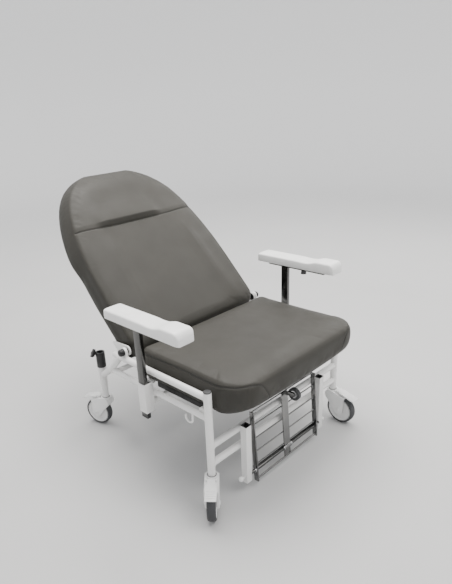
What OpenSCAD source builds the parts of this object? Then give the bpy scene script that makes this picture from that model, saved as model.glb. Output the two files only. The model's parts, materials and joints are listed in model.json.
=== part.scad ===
// Wide reclining phlebotomy chair on four braked castors.
// X runs across the chair, the front faces -Y, Z is up and the castors stand on Z = 0.
// Places along Y are measured from the front legs; chair() sets the whole chair over its middle.

/* [Frame] */
// Outer diameter of the front leg tubes
leg_d = 28; // [26:0.5:30]
// Wall of the frame tubes
tube_wall = 2; // [1.5:0.1:2.5]
// Height of the front leg tops
leg_top = 472; // [466:1:480]
// Height of the upper side rails
upper_rail_z = 449; // [446:1:452]
// Outer diameter of the upper side rails and of the cross rails
rail_d = 25; // [22:0.5:26]
// Length of the upper side rails behind the legs
upper_rail_len = 505; // [495:1:520]
// Height of the lower side rails
lower_rail_z = 370; // [366:1:374]
// Outer diameter of the lower side rails
lower_rail_d = 22; // [20:0.5:24]
// Height of the upper front cross rail
cross_upper_z = 261; // [250:1:268]
// Height of the lower front cross rail
cross_lower_z = 189; // [180:1:200]
// Height of the cross rail between the arm sockets
mid_cross_z = 332; // [325:1:338]

/* [Rear uprights] */
// Outer diameter of the rear uprights
upright_d = 30; // [29:0.5:32]
// Outer diameter of the sleeve round each rear upright
sleeve_d = 34; // [33.5:0.5:38]
// Height of the sleeve's lower end
sleeve_bottom = 206; // [195:1:215]
// Height of the sleeve's upper end
sleeve_top = 297; // [290:1:305]
// Outer diameter of the rear diagonal tubes
diagonal_d = 28; // [25:0.5:29]

/* [Pole sockets] */
// Outer diameter of the black pole socket
pole_socket_d = 40; // [38:0.5:44]
// Height of the black pole socket
pole_socket_h = 69; // [60:1:80]
// Bore for the pole
pole_bore_d = 25.2; // [25.1:0.1:25.4]
// Radius of the star knob
star_r = 19; // [16:0.5:22]

/* [Arm rests] */
// Outside width of the square arm sockets
arm_socket_w = 40; // [38:0.5:44]
// Wall of the arm sockets
arm_socket_wall = 3; // [2.5:0.1:3.5]
// Place of the front face of the arm sockets, behind the legs
arm_socket_y = 268; // [262:1:274]
// Height of the lower end of the arm sockets
arm_socket_bottom = 299; // [290:1:305]
// Height of the upper end of the arm sockets
arm_socket_top = 417; // [410:1:425]
// Thickness of the flat arm posts
post_t = 16; // [14:0.5:18]
// Height of the lower end of the arm posts
post_bottom = 276; // [265:1:285]
// Width of the arm pads
pad_w = 80; // [74:1:84]
// Height of the underside of the arm pads
pad_z = 651; // [630:1:670]
// Thickness of the flat part of the arm pads
pad_t = 37; // [32:0.5:42]
// Height of the palm rise over the flat part
pad_hump = 15; // [8:0.5:20]
// Place of the front end of the arm pads, behind the legs
pad_front = 32; // [20:1:45]
// Length of the arm pads
pad_len = 388; // [370:1:400]

/* [Seat] */
// Half of the width of the seat cushion
seat_half_w = 357; // [345:1:360]
// Reach of the seat cushion in front of the legs
seat_front = 126; // [110:1:140]
// Height of the underside of the seat cushion
seat_z = 396; // [395:0.5:400]
// Height of the boxing of the seat cushion
seat_boxing = 107; // [95:1:112]
// Crown of the seat cushion above its seam
seat_crown = 18; // [8:0.5:24]
// Corner radius at the front of the seat cushion
seat_corner = 105; // [70:1:130]
// Thickness of the seat board
board_t = 12; // [9:0.5:14]

/* [Back] */
// Tilt of the back from upright, in degrees
back_tilt = 44; // [40:1:48]
// Height of the back's hinge
hinge_z = 479; // [477:1:482]
// Diameter of the hinge pins
hinge_pin_d = 12; // [10:0.5:14]
// Length of the back cushion above the hinge
back_len = 812; // [760:1:840]
// Length of the back cushion below the hinge
back_below = 34; // [28:1:36]
// Seam of the back cushion in front of the hinge
back_seam = 20; // [12:0.5:24]
// Rear face of the back cushion behind the hinge
back_rear = 48; // [44:0.5:52]
// Crown of the back cushion in front of its seam
back_crown = 34; // [20:0.5:36]
// Distance of the head roll's seam above the hinge
head_seam = 520; // [480:1:560]
// Thickness of the back board
back_board_t = 10; // [8:0.5:12]

/* [Footrest] */
// Height of the footrest's hinge
foot_z = 71; // [66:1:76]
// Place of the footrest's hinge in front of the legs
foot_y = 38; // [37:0.5:40]
// Diameter of the footrest's hinge bar
foot_pin_d = 12; // [10:0.5:14]
// Half of the width of the footrest
foot_half_w = 192; // [180:1:200]
// Length of the footrest above its hinge
foot_up = 240; // [225:1:250]
// Length of the footrest below its hinge
foot_down = 50; // [46:0.5:54]
// Lean of the folded footrest towards the seat, in degrees
foot_lean = 4; // [3:0.1:4.3]
// Diameter of the footrest wires
wire_d = 5; // [4:0.5:6]
// Diameter of the footrest roller
roller_d = 50; // [44:1:56]
// Width of the footrest roller
roller_w = 14; // [12:0.5:16]

/* [Leg rest sockets] */
// Distance of the leg rest sockets from the middle of the chair
leg_socket_x = 228; // [222:1:236]
// Outside width of the square leg rest sockets
leg_socket_w = 27; // [25:0.5:30]
// Wall of the leg rest sockets
leg_socket_wall = 2.5; // [2:0.1:3]
// Height of the lower end of the leg rest sockets
leg_socket_bottom = 36; // [30:1:42]
// Height of the upper end of the leg rest sockets
leg_socket_top = 278; // [272:1:300]

/* [Castors] */
// Diameter of the castor wheels
wheel_d = 125; // [120:1:130]
// Width of the castor tyres
tyre_w = 32; // [30:0.5:33]
// Radial thickness of the castor tyres
tyre_t = 9; // [7:0.5:12]
// Height of the castor housings
castor_h = 145; // [142:0.5:150]
// Distance from the swivel axis to the wheel axle
trail = 46; // [44:1:50]
// Width of the castor housings
housing_w = 50; // [48:0.5:54]
// Swivel of the front left castor at rest, in degrees
front_left_angle = -139; // [-150:1:-130]
// Swivel of the front right castor at rest, in degrees
front_right_angle = -92; // [-100:1:-80]
// Swivel of the rear left castor at rest, in degrees
rear_left_angle = 110; // [100:1:120]
// Swivel of the rear right castor at rest, in degrees
rear_right_angle = 80; // [70:1:90]

/* [Gas spring] */
// Lever of the gas spring below the hinge
lever_r = 94; // [92:0.5:95]
// Place of the gas spring's front pin, behind the legs
anchor_y = 70; // [66:1:76]
// Height of the gas spring's front pin
anchor_z = 345; // [342:0.5:346]
// Diameter of the gas spring cylinder
cylinder_d = 28; // [26:0.5:28]
// Diameter of the gas spring rod
rod_d = 10; // [8:0.5:10]

/* [Hidden] */
$fn = 48;

// The frame stands beside the seat, and the legs, arm rests, back and uprights keep their places to it
leg_beside_seat = 25;
pad_outwards = 46;
upright_inwards = 64;
back_overlap = 1;
leg_x = seat_half_w + leg_beside_seat;
pad_x = leg_x + pad_outwards;
upright_x = leg_x - upright_inwards;
back_half_w = seat_half_w + back_overlap;

// The hinge stands near the end of the upper rails, with the seat before it and the uprights behind them
hinge_before_end = 63;
seat_before_hinge = 68;
upright_behind_rail = 216;
bend_behind_rail = 42;
cross_before_bend = 35;
hinge_y = upper_rail_len - hinge_before_end;
seat_rear = hinge_y - seat_before_hinge;
upright_y = upper_rail_len + upright_behind_rail;
diagonal_bend_y = upper_rail_len + bend_behind_rail;
rear_cross_y = diagonal_bend_y - cross_before_bend;
// The cross rail between the arm sockets
mid_cross_in = 16;
mid_cross_y = arm_socket_y + mid_cross_in;

// Running clearance of a shaft in its hole, on the radius
run = 0.05;
// Clearance of parts that slide or pass each other
slip = 0.3;
// Overrun of every cut
over = 1;

// Where the back narrows to its rounded head, and the share of its length kept at the flat top
taper_from = 200;
top_share = 0.985;
back_top = taper_from + (back_len - taper_from) * top_share;
// Outward swell of the cushions' sides
seat_bulge = 4;
back_bulge = 3;

// The chair's middle along Y, from the seat's front edge to the top of the back
back_reach = hinge_y + back_top * sin(back_tilt) + back_rear * cos(back_tilt);
middle_y = (back_reach - seat_front - seat_bulge) / 2;

// Colours
white_paint = "whitesmoke";
black_plastic = "#1c1c1e";
grey_plastic = "#55585b";
steel = "silver";
dark_steel = "#6e7072";
vinyl = "#5f5c58";
foam = "#eeeeec";

// Sets the chair over its middle
module chair() {
    translate([0, -middle_y, 0])
    children();
}

// A round bar from p to q
module bar(p, q, d) {
    v = q - p;
    len = norm(v);
    translate(p)
    rotate([0, acos(v[2] / len), atan2(v[1], v[0])])
    cylinder(h = len, d = d);
}

// A block from its lowest to its highest corner
module block(low, high) {
    translate(low)
    cube(high - low);
}

// A round bar along X between two places
module bar_x(x1, x2, y, z, d) {
    translate([min(x1, x2), y, z])
    rotate([0, 90, 0])
    cylinder(h = abs(x2 - x1), d = d);
}

// A round bar along Y between two places
module bar_y(x, y1, y2, z, d) {
    translate([x, max(y1, y2), z])
    rotate([90, 0, 0])
    cylinder(h = abs(y2 - y1), d = d);
}

// A round bar along Z between two heights
module bar_z(x, y, z1, z2, d) {
    translate([x, y, min(z1, z2)])
    cylinder(h = abs(z2 - z1), d = d);
}

// Sizes worked out for the frame
leg_seat = 8;
leg_bottom = castor_h - leg_seat;
leg_bore_d = leg_d - 2 * tube_wall;
upright_bore_d = upright_d - 2 * tube_wall;
rail_bore_d = rail_d - 2 * tube_wall;
lower_rail_bore_d = lower_rail_d - 2 * tube_wall;
lower_rail_in = leg_x - lower_rail_d / 2;
lower_rail_out = leg_x + lower_rail_d / 2;

module leg_outside(side) {
    bar_z(side * leg_x, 0, leg_bottom, leg_top, leg_d);
}

module upper_rail_outside(side) {
    bar_y(side * leg_x, 0, upper_rail_len, upper_rail_z, rail_d);
}

module lower_rail_outside(side) {
    bar_y(side * leg_x, 0, diagonal_bend_y, lower_rail_z, lower_rail_d);
}

module sleeve_outside(side) {
    bar_z(side * upright_x, upright_y, sleeve_bottom, sleeve_top, sleeve_d);
}

// The rear diagonal leaves the upper rail, bends where the lower rail meets it and runs inwards
diagonal_start_back = 32;
diagonal_bend_in = 0;
diagonal_end_z = (sleeve_bottom + sleeve_top) / 2;

function diagonal_points(side) = [
    [side * leg_x, upper_rail_len - diagonal_start_back, upper_rail_z],
    [side * (leg_x - diagonal_bend_in), diagonal_bend_y, lower_rail_z],
    [side * upright_x, upright_y, diagonal_end_z]];

// The outside of a diagonal, with a slightly fuller knuckle at its bend
knuckle_more = 1;
module diagonal_outside(side) {
    p = diagonal_points(side);
    bar(p[0], p[1], diagonal_d);
    translate(p[1])
    sphere(d = diagonal_d + knuckle_more);
    bar(p[1], p[2], diagonal_d);
}

// Its two bores, which stop short of the welded ends and the bend
module diagonal_bores(side) {
    p = diagonal_points(side);
    d1 = (p[1] - p[0]) / norm(p[1] - p[0]) * diagonal_d;
    d2 = (p[2] - p[1]) / norm(p[2] - p[1]) * diagonal_d;
    bar(p[0] + d1, p[1] - d1, diagonal_d - 2 * tube_wall);
    bar(p[1] + d2, p[2] - d2, diagonal_d - 2 * tube_wall);
}

module front_leg(side) {
    color(white_paint)
    chair()
    difference() {
        leg_outside(side);
        bar_z(side * leg_x, 0, leg_bottom - over, leg_top + over, leg_bore_d);
    }
}

module front_leg_left() { front_leg(-1); }
module front_leg_right() { front_leg(1); }

module upper_side_rails() {
    color(white_paint)
    chair()
    for (side = [-1, 1])
        difference() {
            upper_rail_outside(side);
            bar_y(side * leg_x, -over, upper_rail_len + over, upper_rail_z, rail_bore_d);
            leg_outside(side);
        }
}

module lower_side_rails() {
    color(white_paint)
    chair()
    for (side = [-1, 1])
        difference() {
            lower_rail_outside(side);
            bar_y(side * leg_x, -over, diagonal_bend_y - diagonal_d, lower_rail_z, lower_rail_bore_d);
            leg_outside(side);
            diagonal_outside(side);
        }
}

module cross_tube(half, y, z, d) {
    difference() {
        bar_x(-half, half, y, z, d);
        bar_x(-half - over, half + over, y, z, d - 2 * tube_wall);
    }
}

module front_cross_rails() {
    color(white_paint)
    chair()
    for (z = [cross_upper_z, cross_lower_z])
        difference() {
            cross_tube(leg_x, 0, z, rail_d);
            leg_outside(-1);
            leg_outside(1);
        }
}

module rear_diagonals() {
    color(white_paint)
    chair()
    for (side = [-1, 1])
        difference() {
            diagonal_outside(side);
            diagonal_bores(side);
            upper_rail_outside(side);
            sleeve_outside(side);
        }
}

module rear_uprights() {
    color(white_paint)
    chair()
    for (side = [-1, 1])
        difference() {
            union() {
                bar_z(side * upright_x, upright_y, leg_bottom, sleeve_top, upright_d);
                sleeve_outside(side);
            }
            bar_z(side * upright_x, upright_y, leg_bottom - over, sleeve_top + over, upright_bore_d);
        }
}

module under_cross_rails() {
    color(white_paint)
    chair() {
        cross_tube(arm_socket_in, mid_cross_y, mid_cross_z, lower_rail_d);
        difference() {
            cross_tube(leg_x, rear_cross_y, lower_rail_z, lower_rail_d);
            for (side = [-1, 1]) {
                lower_rail_outside(side);
                diagonal_outside(side);
            }
        }
    }
}

// Domed plugs in the leg tops and the rear rail ends
plug_h = 4;
plug_in = 10;

module plug(d, bore_d) {
    cylinder(h = plug_h / 2, d = d);
    translate([0, 0, plug_h / 2])
    cylinder(h = plug_h / 2, d1 = d, d2 = d - plug_h);
    translate([0, 0, -plug_in])
    cylinder(h = plug_in, d = bore_d);
}

module tube_caps() {
    color(grey_plastic)
    chair()
    for (side = [-1, 1]) {
        translate([side * leg_x, 0, leg_top])
        plug(leg_d, leg_bore_d);
        translate([side * leg_x, upper_rail_len, upper_rail_z])
        rotate([-90, 0, 0])
        plug(rail_d, rail_bore_d);
    }
}

// Brackets: hinge lugs, seat brackets and the gas spring's front bracket
lug_t = 10;
lug_w = 34;
board_bottom = seat_z - board_t;
bracket_t = 5;
bracket_w = 40;
bracket_flange = 50;
bracket_front_y = 36;
bracket_rear_in = 39;
bracket_rear_y = seat_rear - bracket_rear_in;
cheek_t = 5;
eye_w = 12;
eye_d = 24;
small_pin_d = 8;
cheek_in = eye_w / 2 + 2 * over;
cheek_r = 11;

module hinge_lug(side) {
    difference() {
        union() {
            block([side * leg_x - lug_t / 2, hinge_y - lug_w / 2, upper_rail_z],
                [side * leg_x + lug_t / 2, hinge_y + lug_w / 2, hinge_z]);
            bar_x(side * leg_x - lug_t / 2, side * leg_x + lug_t / 2, hinge_y, hinge_z, lug_w);
        }
        upper_rail_outside(side);
        bar_x(side * leg_x - lug_t, side * leg_x + lug_t, hinge_y, hinge_z, hinge_pin_d);
    }
}

module seat_bracket(side, y) {
    mirror([side < 0 ? 1 : 0, 0, 0]) {
        block([lower_rail_in - bracket_t, y - bracket_w / 2, lower_rail_z - lower_rail_d / 2],
            [lower_rail_in, y + bracket_w / 2, board_bottom]);
        block([lower_rail_in - bracket_flange, y - bracket_w / 2, board_bottom - bracket_t],
            [lower_rail_in, y + bracket_w / 2, board_bottom]);
    }
}

module spring_anchor() {
    for (side = [-1, 1])
        mirror([side < 0 ? 1 : 0, 0, 0]) {
            block([cheek_in, anchor_y - cheek_r, anchor_z],
                [cheek_in + cheek_t, anchor_y + cheek_r, board_bottom]);
            bar_x(cheek_in, cheek_in + cheek_t, anchor_y, anchor_z, 2 * cheek_r);
        }
    bar_x(-cheek_in - over, cheek_in + over, anchor_y, anchor_z, small_pin_d);
}

module frame_brackets() {
    color(white_paint)
    chair() {
        for (side = [-1, 1]) {
            hinge_lug(side);
            seat_bracket(side, bracket_front_y);
            seat_bracket(side, bracket_rear_y);
        }
        spring_anchor();
    }
}

// Hinge pins with a spacer collar and a round black head
gusset_t = 4.5;
gusset_in = leg_x - 18.5;
hinge_head_d = 28;
hinge_head_t = 9;
spacer_d = 22;

module hinge_pins() {
    color(black_plastic)
    chair()
    for (side = [-1, 1]) {
        bar_x(side * gusset_in, side * (leg_x + lug_t / 2), hinge_y, hinge_z, hinge_pin_d);
        bar_x(side * (gusset_in + gusset_t + slip), side * (leg_x - lug_t / 2), hinge_y, hinge_z, spacer_d);
        bar_x(side * (leg_x + lug_t / 2), side * (leg_x + lug_t / 2 + hinge_head_t), hinge_y, hinge_z,
            hinge_head_d);
    }
}

// Seat board, with a slot over the gas spring and a batten along each side
seat_draw = 4;
board_side_in = 16;
board_share = 0.95;
board_slot_w = 40;
board_slot_front = 150;
batten_w = 13;
batten_out = seat_half_w - 2 * board_side_in - seat_draw;
batten_h = 13;
batten_front = 60;
batten_rear_in = 64;
function board_y(y) = seat_middle + (tucked(y, seat_tuck_share) - seat_middle) * board_share;

module seat_board() {
    color(black_plastic)
    chair() {
        difference() {
            translate([0, 0, board_bottom])
            linear_extrude(height = board_t)
            polygon(concat(
                [for (row = seat_rows) [row[1] - board_side_in, board_y(row[0])]],
                [for (k = [len(seat_rows) - 1:-1:0])
                    [board_side_in - seat_rows[k][1], board_y(seat_rows[k][0])]]));
            block([-board_slot_w / 2, board_slot_front, board_bottom - over],
                [board_slot_w / 2, seat_rear + over, seat_z + over]);
        }
        for (side = [-1, 1])
            mirror([side < 0 ? 1 : 0, 0, 0])
            block([batten_out - batten_w, batten_front, board_bottom - batten_h],
                [batten_out, seat_rear - batten_rear_in, board_bottom]);
    }
}

// A cushion whose rows run along V: each row is [place, half width]; heights come from a crown
// The rows' points lie closer together near the edges
function across_share(i, n) = -cos(180 * i / n);
function rim(n, m) = concat(
    [for (i = [0:n]) i],
    [for (j = [1:m]) j * (n + 1) + n],
    [for (i = [n - 1:-1:0]) m * (n + 1) + i],
    [for (j = [m - 1:-1:1]) j * (n + 1)]);
function pushed(p, centre, out, h) =
    let (v = [p[0], p[1] - centre], r = norm(v))
    [p[0] + v[0] / r * out, p[1] + v[1] / r * out, h];

function tucked(y, share) = y < 0 ? y * share : y;
function drawn(p, y_share) = [p[0], tucked(p[1], y_share), p[2]];

// Side loops from the top edge down: [share of the height, share of the bulge, share of the tuck]
side_loops_shares = [[0.8, 1, 0], [0.45, 1, 0.15], [0.16, 0.6, 0.6], [0, 0, 1]];

module cushion(rows, tops, n, base, bulge, centre, tuck) {
    m = len(rows) - 1;
    grid = [for (j = [0:m]) for (i = [0:n])
        [rows[j][1] * across_share(i, n), rows[j][0], tops[j][i]]];
    edge = rim(n, m);
    count = len(edge);
    g = len(grid);
    sides = [for (l = side_loops_shares) for (k = edge)
        drawn(pushed(grid[k], centre, bulge * l[1], base + (grid[k][2] - base) * l[0]),
            1 - (1 - tuck) * l[2])];
    loops = concat([edge], [for (l = [0:len(side_loops_shares) - 1])
        [for (q = [0:count - 1]) g + l * count + q]]);
    last = loops[len(loops) - 1];
    polyhedron(
        points = concat(grid, sides),
        faces = concat(
            [for (j = [0:m - 1]) for (i = [0:n - 1])
                let (a = j * (n + 1) + i) [a, a + n + 1, a + n + 2]],
            [for (j = [0:m - 1]) for (i = [0:n - 1])
                let (a = j * (n + 1) + i) [a, a + n + 2, a + 1]],
            [for (k = [0:len(loops) - 2]) for (q = [0:count - 1])
                [loops[k][q], loops[k][(q + 1) % count], loops[k + 1][(q + 1) % count]]],
            [for (k = [0:len(loops) - 2]) for (q = [0:count - 1])
                [loops[k][q], loops[k + 1][(q + 1) % count], loops[k + 1][q]]],
            [concat([last[count - 1]], [for (i = [0:n + 1]) last[i]])],
            [for (j = [1:m - 2]) let (l = count - j)
                [last[l], last[n + j], last[n + j + 1], last[l - 1]]],
            [[for (q = [n + m - 1:2 * n + m + 1]) last[q]]]),
        convexity = 4);
}

// Share of its reach in front of the legs that the seat keeps at its underside
seat_tuck_share = 0.66;

// Seat: corner arcs at both ends, sides drawn in a little between them
seat_rear_corner = 40;
seat_columns = 14;
seat_middle = (seat_rear - seat_front) / 2;

function arc_in(r, a) = r * (1 - cos(a));
seat_rows = concat(
    [for (a = [0:22.5:90])
        [-seat_front + arc_in(seat_corner, a), seat_half_w - seat_corner * (1 - sin(a))]],
    [for (k = [1:5])
        let (from = -seat_front + seat_corner, to = seat_rear - seat_rear_corner)
        [from + (to - from) * k / 6, seat_half_w - seat_draw * sin(180 * k / 6)]],
    [for (a = [0:22.5:90])
        [seat_rear - seat_rear_corner + seat_rear_corner * sin(a),
            seat_half_w - arc_in(seat_rear_corner, a)]]);
seat_fall = 90;
function seat_swell(y) =
    let (e = min(1, min(y + seat_front, seat_rear - y) / seat_fall)) 1 - pow(1 - e, 2);
seat_tops = [for (row = seat_rows) [for (i = [0:seat_columns])
    seat_z + seat_boxing + seat_crown * seat_swell(row[0]) * (1 - pow(abs(across_share(i, seat_columns)), 3))]];

module seat_cushion() {
    color(vinyl)
    chair()
    cushion(seat_rows, seat_tops, seat_columns, seat_z, seat_bulge, seat_middle, seat_tuck_share);
}

// Arm sockets, guide blocks, posts and pads
arm_socket_in = lower_rail_out;
arm_socket_out = arm_socket_in + arm_socket_w;
arm_cavity_front = arm_socket_y + arm_socket_wall;
arm_cavity_rear = arm_socket_y + arm_socket_w - arm_socket_wall;
post_out = arm_socket_out - arm_socket_wall - slip;
post_in = post_out - post_t;
guide_gap_top = 7;
guide_gap_bottom = 6;

module arm_socket(side) {
    color(white_paint)
    chair()
    mirror([side < 0 ? 1 : 0, 0, 0])
    difference() {
        block([arm_socket_in, arm_socket_y, arm_socket_bottom],
            [arm_socket_out, arm_socket_y + arm_socket_w, arm_socket_top]);
        block([arm_socket_in + arm_socket_wall, arm_cavity_front, arm_socket_bottom - over],
            [arm_socket_out - arm_socket_wall, arm_cavity_rear, arm_socket_top + over]);
    }
}

module arm_socket_left() { arm_socket(-1); }
module arm_socket_right() { arm_socket(1); }

module arm_guides() {
    color(black_plastic)
    chair()
    for (side = [-1, 1])
        mirror([side < 0 ? 1 : 0, 0, 0])
        block([arm_socket_in + arm_socket_wall, arm_cavity_front, arm_socket_bottom + guide_gap_bottom],
            [post_in - slip, arm_cavity_rear, arm_socket_top - guide_gap_top]);
}

plate_t = 6;
plate_w = 60;
plate_front = 77;
plate_len = 284;
arm_knob_in = 16;
arm_knob_y = 185;
arm_knob_d = 24;
arm_knob_h = 17;
arm_stud_d = 6;
arm_stud_in = 12;

module arm_post(side) {
    color(dark_steel)
    chair()
    mirror([side < 0 ? 1 : 0, 0, 0])
    difference() {
        union() {
            block([post_in, arm_cavity_front + slip, post_bottom],
                [post_out, arm_cavity_rear - slip, pad_z - plate_t]);
            block([pad_x - plate_w / 2, plate_front, pad_z - plate_t],
                [pad_x + plate_w / 2, plate_front + plate_len, pad_z]);
        }
        bar_z(pad_x - arm_knob_in, arm_knob_y, pad_z - plate_t - over, pad_z + over, arm_stud_d + 2 * run);
    }
}

module arm_post_left() { arm_post(-1); }
module arm_post_right() { arm_post(1); }

// Side outline of the pad: a flat rest with a palm rise near its front end
pad_steps = 24;
pad_end_r = 22;
pad_rear_r = 6;
hump_back = 130;
hump_share = 0.5;
function hump_top(y) =
    let (t = min(1, max(0, (hump_back - y) / (hump_back * hump_share))))
    pad_t + pad_hump * (0.5 - 0.5 * cos(180 * t));
function pad_outline() = concat(
    [[0, 0], [0, pad_t - pad_end_r + pad_hump]],
    [for (a = [15:15:75]) [pad_end_r * (1 - cos(a)), pad_t + pad_hump - pad_end_r * (1 - sin(a))]],
    [for (k = [0:pad_steps])
        let (y = pad_end_r + (hump_back - pad_end_r) * k / pad_steps) [y, hump_top(y)]],
    [for (a = [0:30:90]) [pad_len - pad_rear_r * (1 - sin(a)), pad_t - pad_rear_r * (1 - cos(a))]],
    [[pad_len, 0]]);
pad_edge_r = 9;
function pad_section() =
    let (w = pad_w / 2, top = pad_t + pad_hump) concat(
    [[-w, 0]],
    [for (a = [0:15:90]) [-w + pad_edge_r * (1 - cos(a)), top - pad_edge_r * (1 - sin(a))]],
    [for (a = [90:-15:0]) [w - pad_edge_r * (1 - cos(a)), top - pad_edge_r * (1 - sin(a))]],
    [[w, 0]]);

module arm_pad(side) {
    color(foam)
    chair()
    translate([side * pad_x, pad_front, pad_z])
    difference() {
        intersection() {
            translate([-pad_w / 2, 0, 0])
            rotate([90, 0, 90])
            linear_extrude(height = pad_w)
            polygon(pad_outline());
            union() {
                translate([0, pad_len, 0])
                rotate([90, 0, 0])
                linear_extrude(height = pad_len)
                polygon(pad_section());
            }
        }
        bar_z(-side * arm_knob_in, arm_knob_y - pad_front, -over, arm_stud_in, arm_stud_d + 2 * run);
    }
}

module arm_pad_left() { arm_pad(-1); }
module arm_pad_right() { arm_pad(1); }

module arm_knob(side) {
    color(grey_plastic)
    chair()
    translate([side * (pad_x - arm_knob_in), arm_knob_y, pad_z - plate_t - slip]) {
        translate([0, 0, -arm_knob_h])
        cylinder(h = arm_knob_h, d1 = arm_knob_d, d2 = arm_knob_d * 0.8);
        cylinder(h = plate_t + arm_stud_in - slip, d = arm_stud_d);
    }
}

module arm_knob_left() { arm_knob(-1); }
module arm_knob_right() { arm_knob(1); }

// Square leg rest sockets with a hand screw low on their outer side
leg_socket_y = -rail_d / 2 - leg_socket_w / 2;
hand_screw_z = 62;
hand_stud_d = 8;
hand_stud_out = 9;
hand_stud_in = 3;
ball_d = 19;
neck_d = 11;
leg_socket_out = leg_socket_x + leg_socket_w / 2;

module leg_socket(side) {
    inner = leg_socket_w / 2 - leg_socket_wall;
    color(white_paint)
    chair()
    mirror([side < 0 ? 1 : 0, 0, 0])
    difference() {
        block([leg_socket_x - leg_socket_w / 2, leg_socket_y - leg_socket_w / 2, leg_socket_bottom],
            [leg_socket_out, leg_socket_y + leg_socket_w / 2, leg_socket_top]);
        block([leg_socket_x - inner, leg_socket_y - inner, leg_socket_bottom - over],
            [leg_socket_x + inner, leg_socket_y + inner, leg_socket_top + over]);
        bar_x(leg_socket_x, leg_socket_out + over, leg_socket_y, hand_screw_z, hand_stud_d + 2 * run);
    }
}

module leg_socket_left() { leg_socket(-1); }
module leg_socket_right() { leg_socket(1); }

module hand_screw(side) {
    color(foam)
    chair()
    translate([side * leg_socket_out, leg_socket_y, hand_screw_z])
    rotate([0, side * 90, 0]) {
        translate([0, 0, -leg_socket_wall - hand_stud_in])
        cylinder(h = leg_socket_wall + hand_stud_in + hand_stud_out, d = hand_stud_d);
        translate([0, 0, hand_stud_out / 2])
        cylinder(h = hand_stud_out, d = neck_d);
        translate([0, 0, hand_stud_out + ball_d / 2])
        sphere(d = ball_d);
    }
}

module hand_screw_left() { hand_screw(-1); }
module hand_screw_right() { hand_screw(1); }

// Black pole sockets on the rear uprights, each clamped by a star knob
star_turn = 152;
star_tilt = 30;
star_stud_d = 8;
star_lobes = 5;
lobe_share = 0.14;
star_t = 12;
star_down = 18.5;
pole_socket_top = sleeve_top + pole_socket_h;
star_z = pole_socket_top - star_down;

module star_place(side) {
    translate([side * upright_x, upright_y, star_z])
    rotate([0, 0, side < 0 ? star_turn : 180 - star_turn])
    rotate([0, 90 - star_tilt, 0])
    children();
}

module pole_socket(side) {
    color(black_plastic)
    chair()
    difference() {
        bar_z(side * upright_x, upright_y, sleeve_top, pole_socket_top, pole_socket_d);
        bar_z(side * upright_x, upright_y, sleeve_top - over, pole_socket_top + over, pole_bore_d);
        star_place(side)
        cylinder(h = 2 * pole_socket_d, d = star_stud_d + 2 * run);
    }
}

module pole_socket_left() { pole_socket(-1); }
module pole_socket_right() { pole_socket(1); }

star_gap = 8;

module star_knob(side) {
    start = (pole_bore_d / 2 + slip + star_stud_d / 2 * sin(star_tilt)) / cos(star_tilt);
    face = pole_socket_d / 2 + star_gap;
    color(black_plastic)
    chair()
    star_place(side) {
        translate([0, 0, start])
        cylinder(h = face - start, d = star_stud_d);
        translate([0, 0, face])
        linear_extrude(height = star_t)
        polygon([for (a = [0:6:354])
            star_r * (1 - lobe_share + lobe_share * cos(star_lobes * a)) * [cos(a), sin(a)]]);
    }
}

module star_knob_left() { star_knob(-1); }
module star_knob_right() { star_knob(1); }

// Hooks of round bar under the lower side rails
hook_d = 8;
hook_r = 17.5;
hook_y = 78;
hook_drop = 24;
hook_tip = 8;

module bag_hooks() {
    color(white_paint)
    chair()
    for (side = [-1, 1])
        difference() {
            translate([side * leg_x, hook_y, lower_rail_z - lower_rail_d / 2 - hook_drop]) {
                cylinder(h = hook_drop + hook_d, d = hook_d);
                translate([0, 2 * hook_r, 0])
                cylinder(h = hook_tip, d = hook_d);
                translate([0, hook_r, 0])
                rotate([0, 90, 0])
                rotate([0, 0, -90])
                rotate_extrude(angle = 180)
                translate([hook_r, 0])
                circle(d = hook_d);
            }
            lower_rail_outside(side);
        }
}

// Footrest: a grid that turns on a bar between the leg rest sockets
socket_gap = leg_socket_x - leg_socket_w / 2;
foot_bar_t = 5;
foot_bar_w = 20;
foot_rod_d = 8;
foot_wires = 5;
foot_first = 13;
foot_top_in = 3;
foot_pitch = (foot_up - foot_top_in - foot_first) / (foot_wires - 1);
centre_w = 36;
centre_t = 5;
centre_eye_d = 20;
angle_t = 3;
angle_w = 10;
angle_down = 14;
angle_up = 12;
collar_d = 18;
collar_t = 7;
roller_out = 36;
roller_down = 7;
roller_x = 16;
roller_axle_d = 8;
roller_hub_d = 30;
arm_plate_t = 4;

module footrest_hinge_bar() {
    color(dark_steel)
    chair()
    bar_x(-socket_gap, socket_gap, -foot_y, foot_z, foot_pin_d);
}

module footrest_collars() {
    color(steel)
    chair()
    for (x = [-foot_half_w - slip - collar_t, foot_half_w + slip, -centre_w / 2 - slip - collar_t,
            centre_w / 2 + slip])
        difference() {
            bar_x(x, x + collar_t, -foot_y, foot_z, collar_d);
            bar_x(x - over, x + collar_t + over, -foot_y, foot_z, foot_pin_d);
        }
}

// The folded footrest's own frame: X across, Y to the back, Z up along it
module footrest() {
    chair()
    translate([0, -foot_y, foot_z])
    rotate([-foot_lean, 0, 0])
    children();
}

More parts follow.
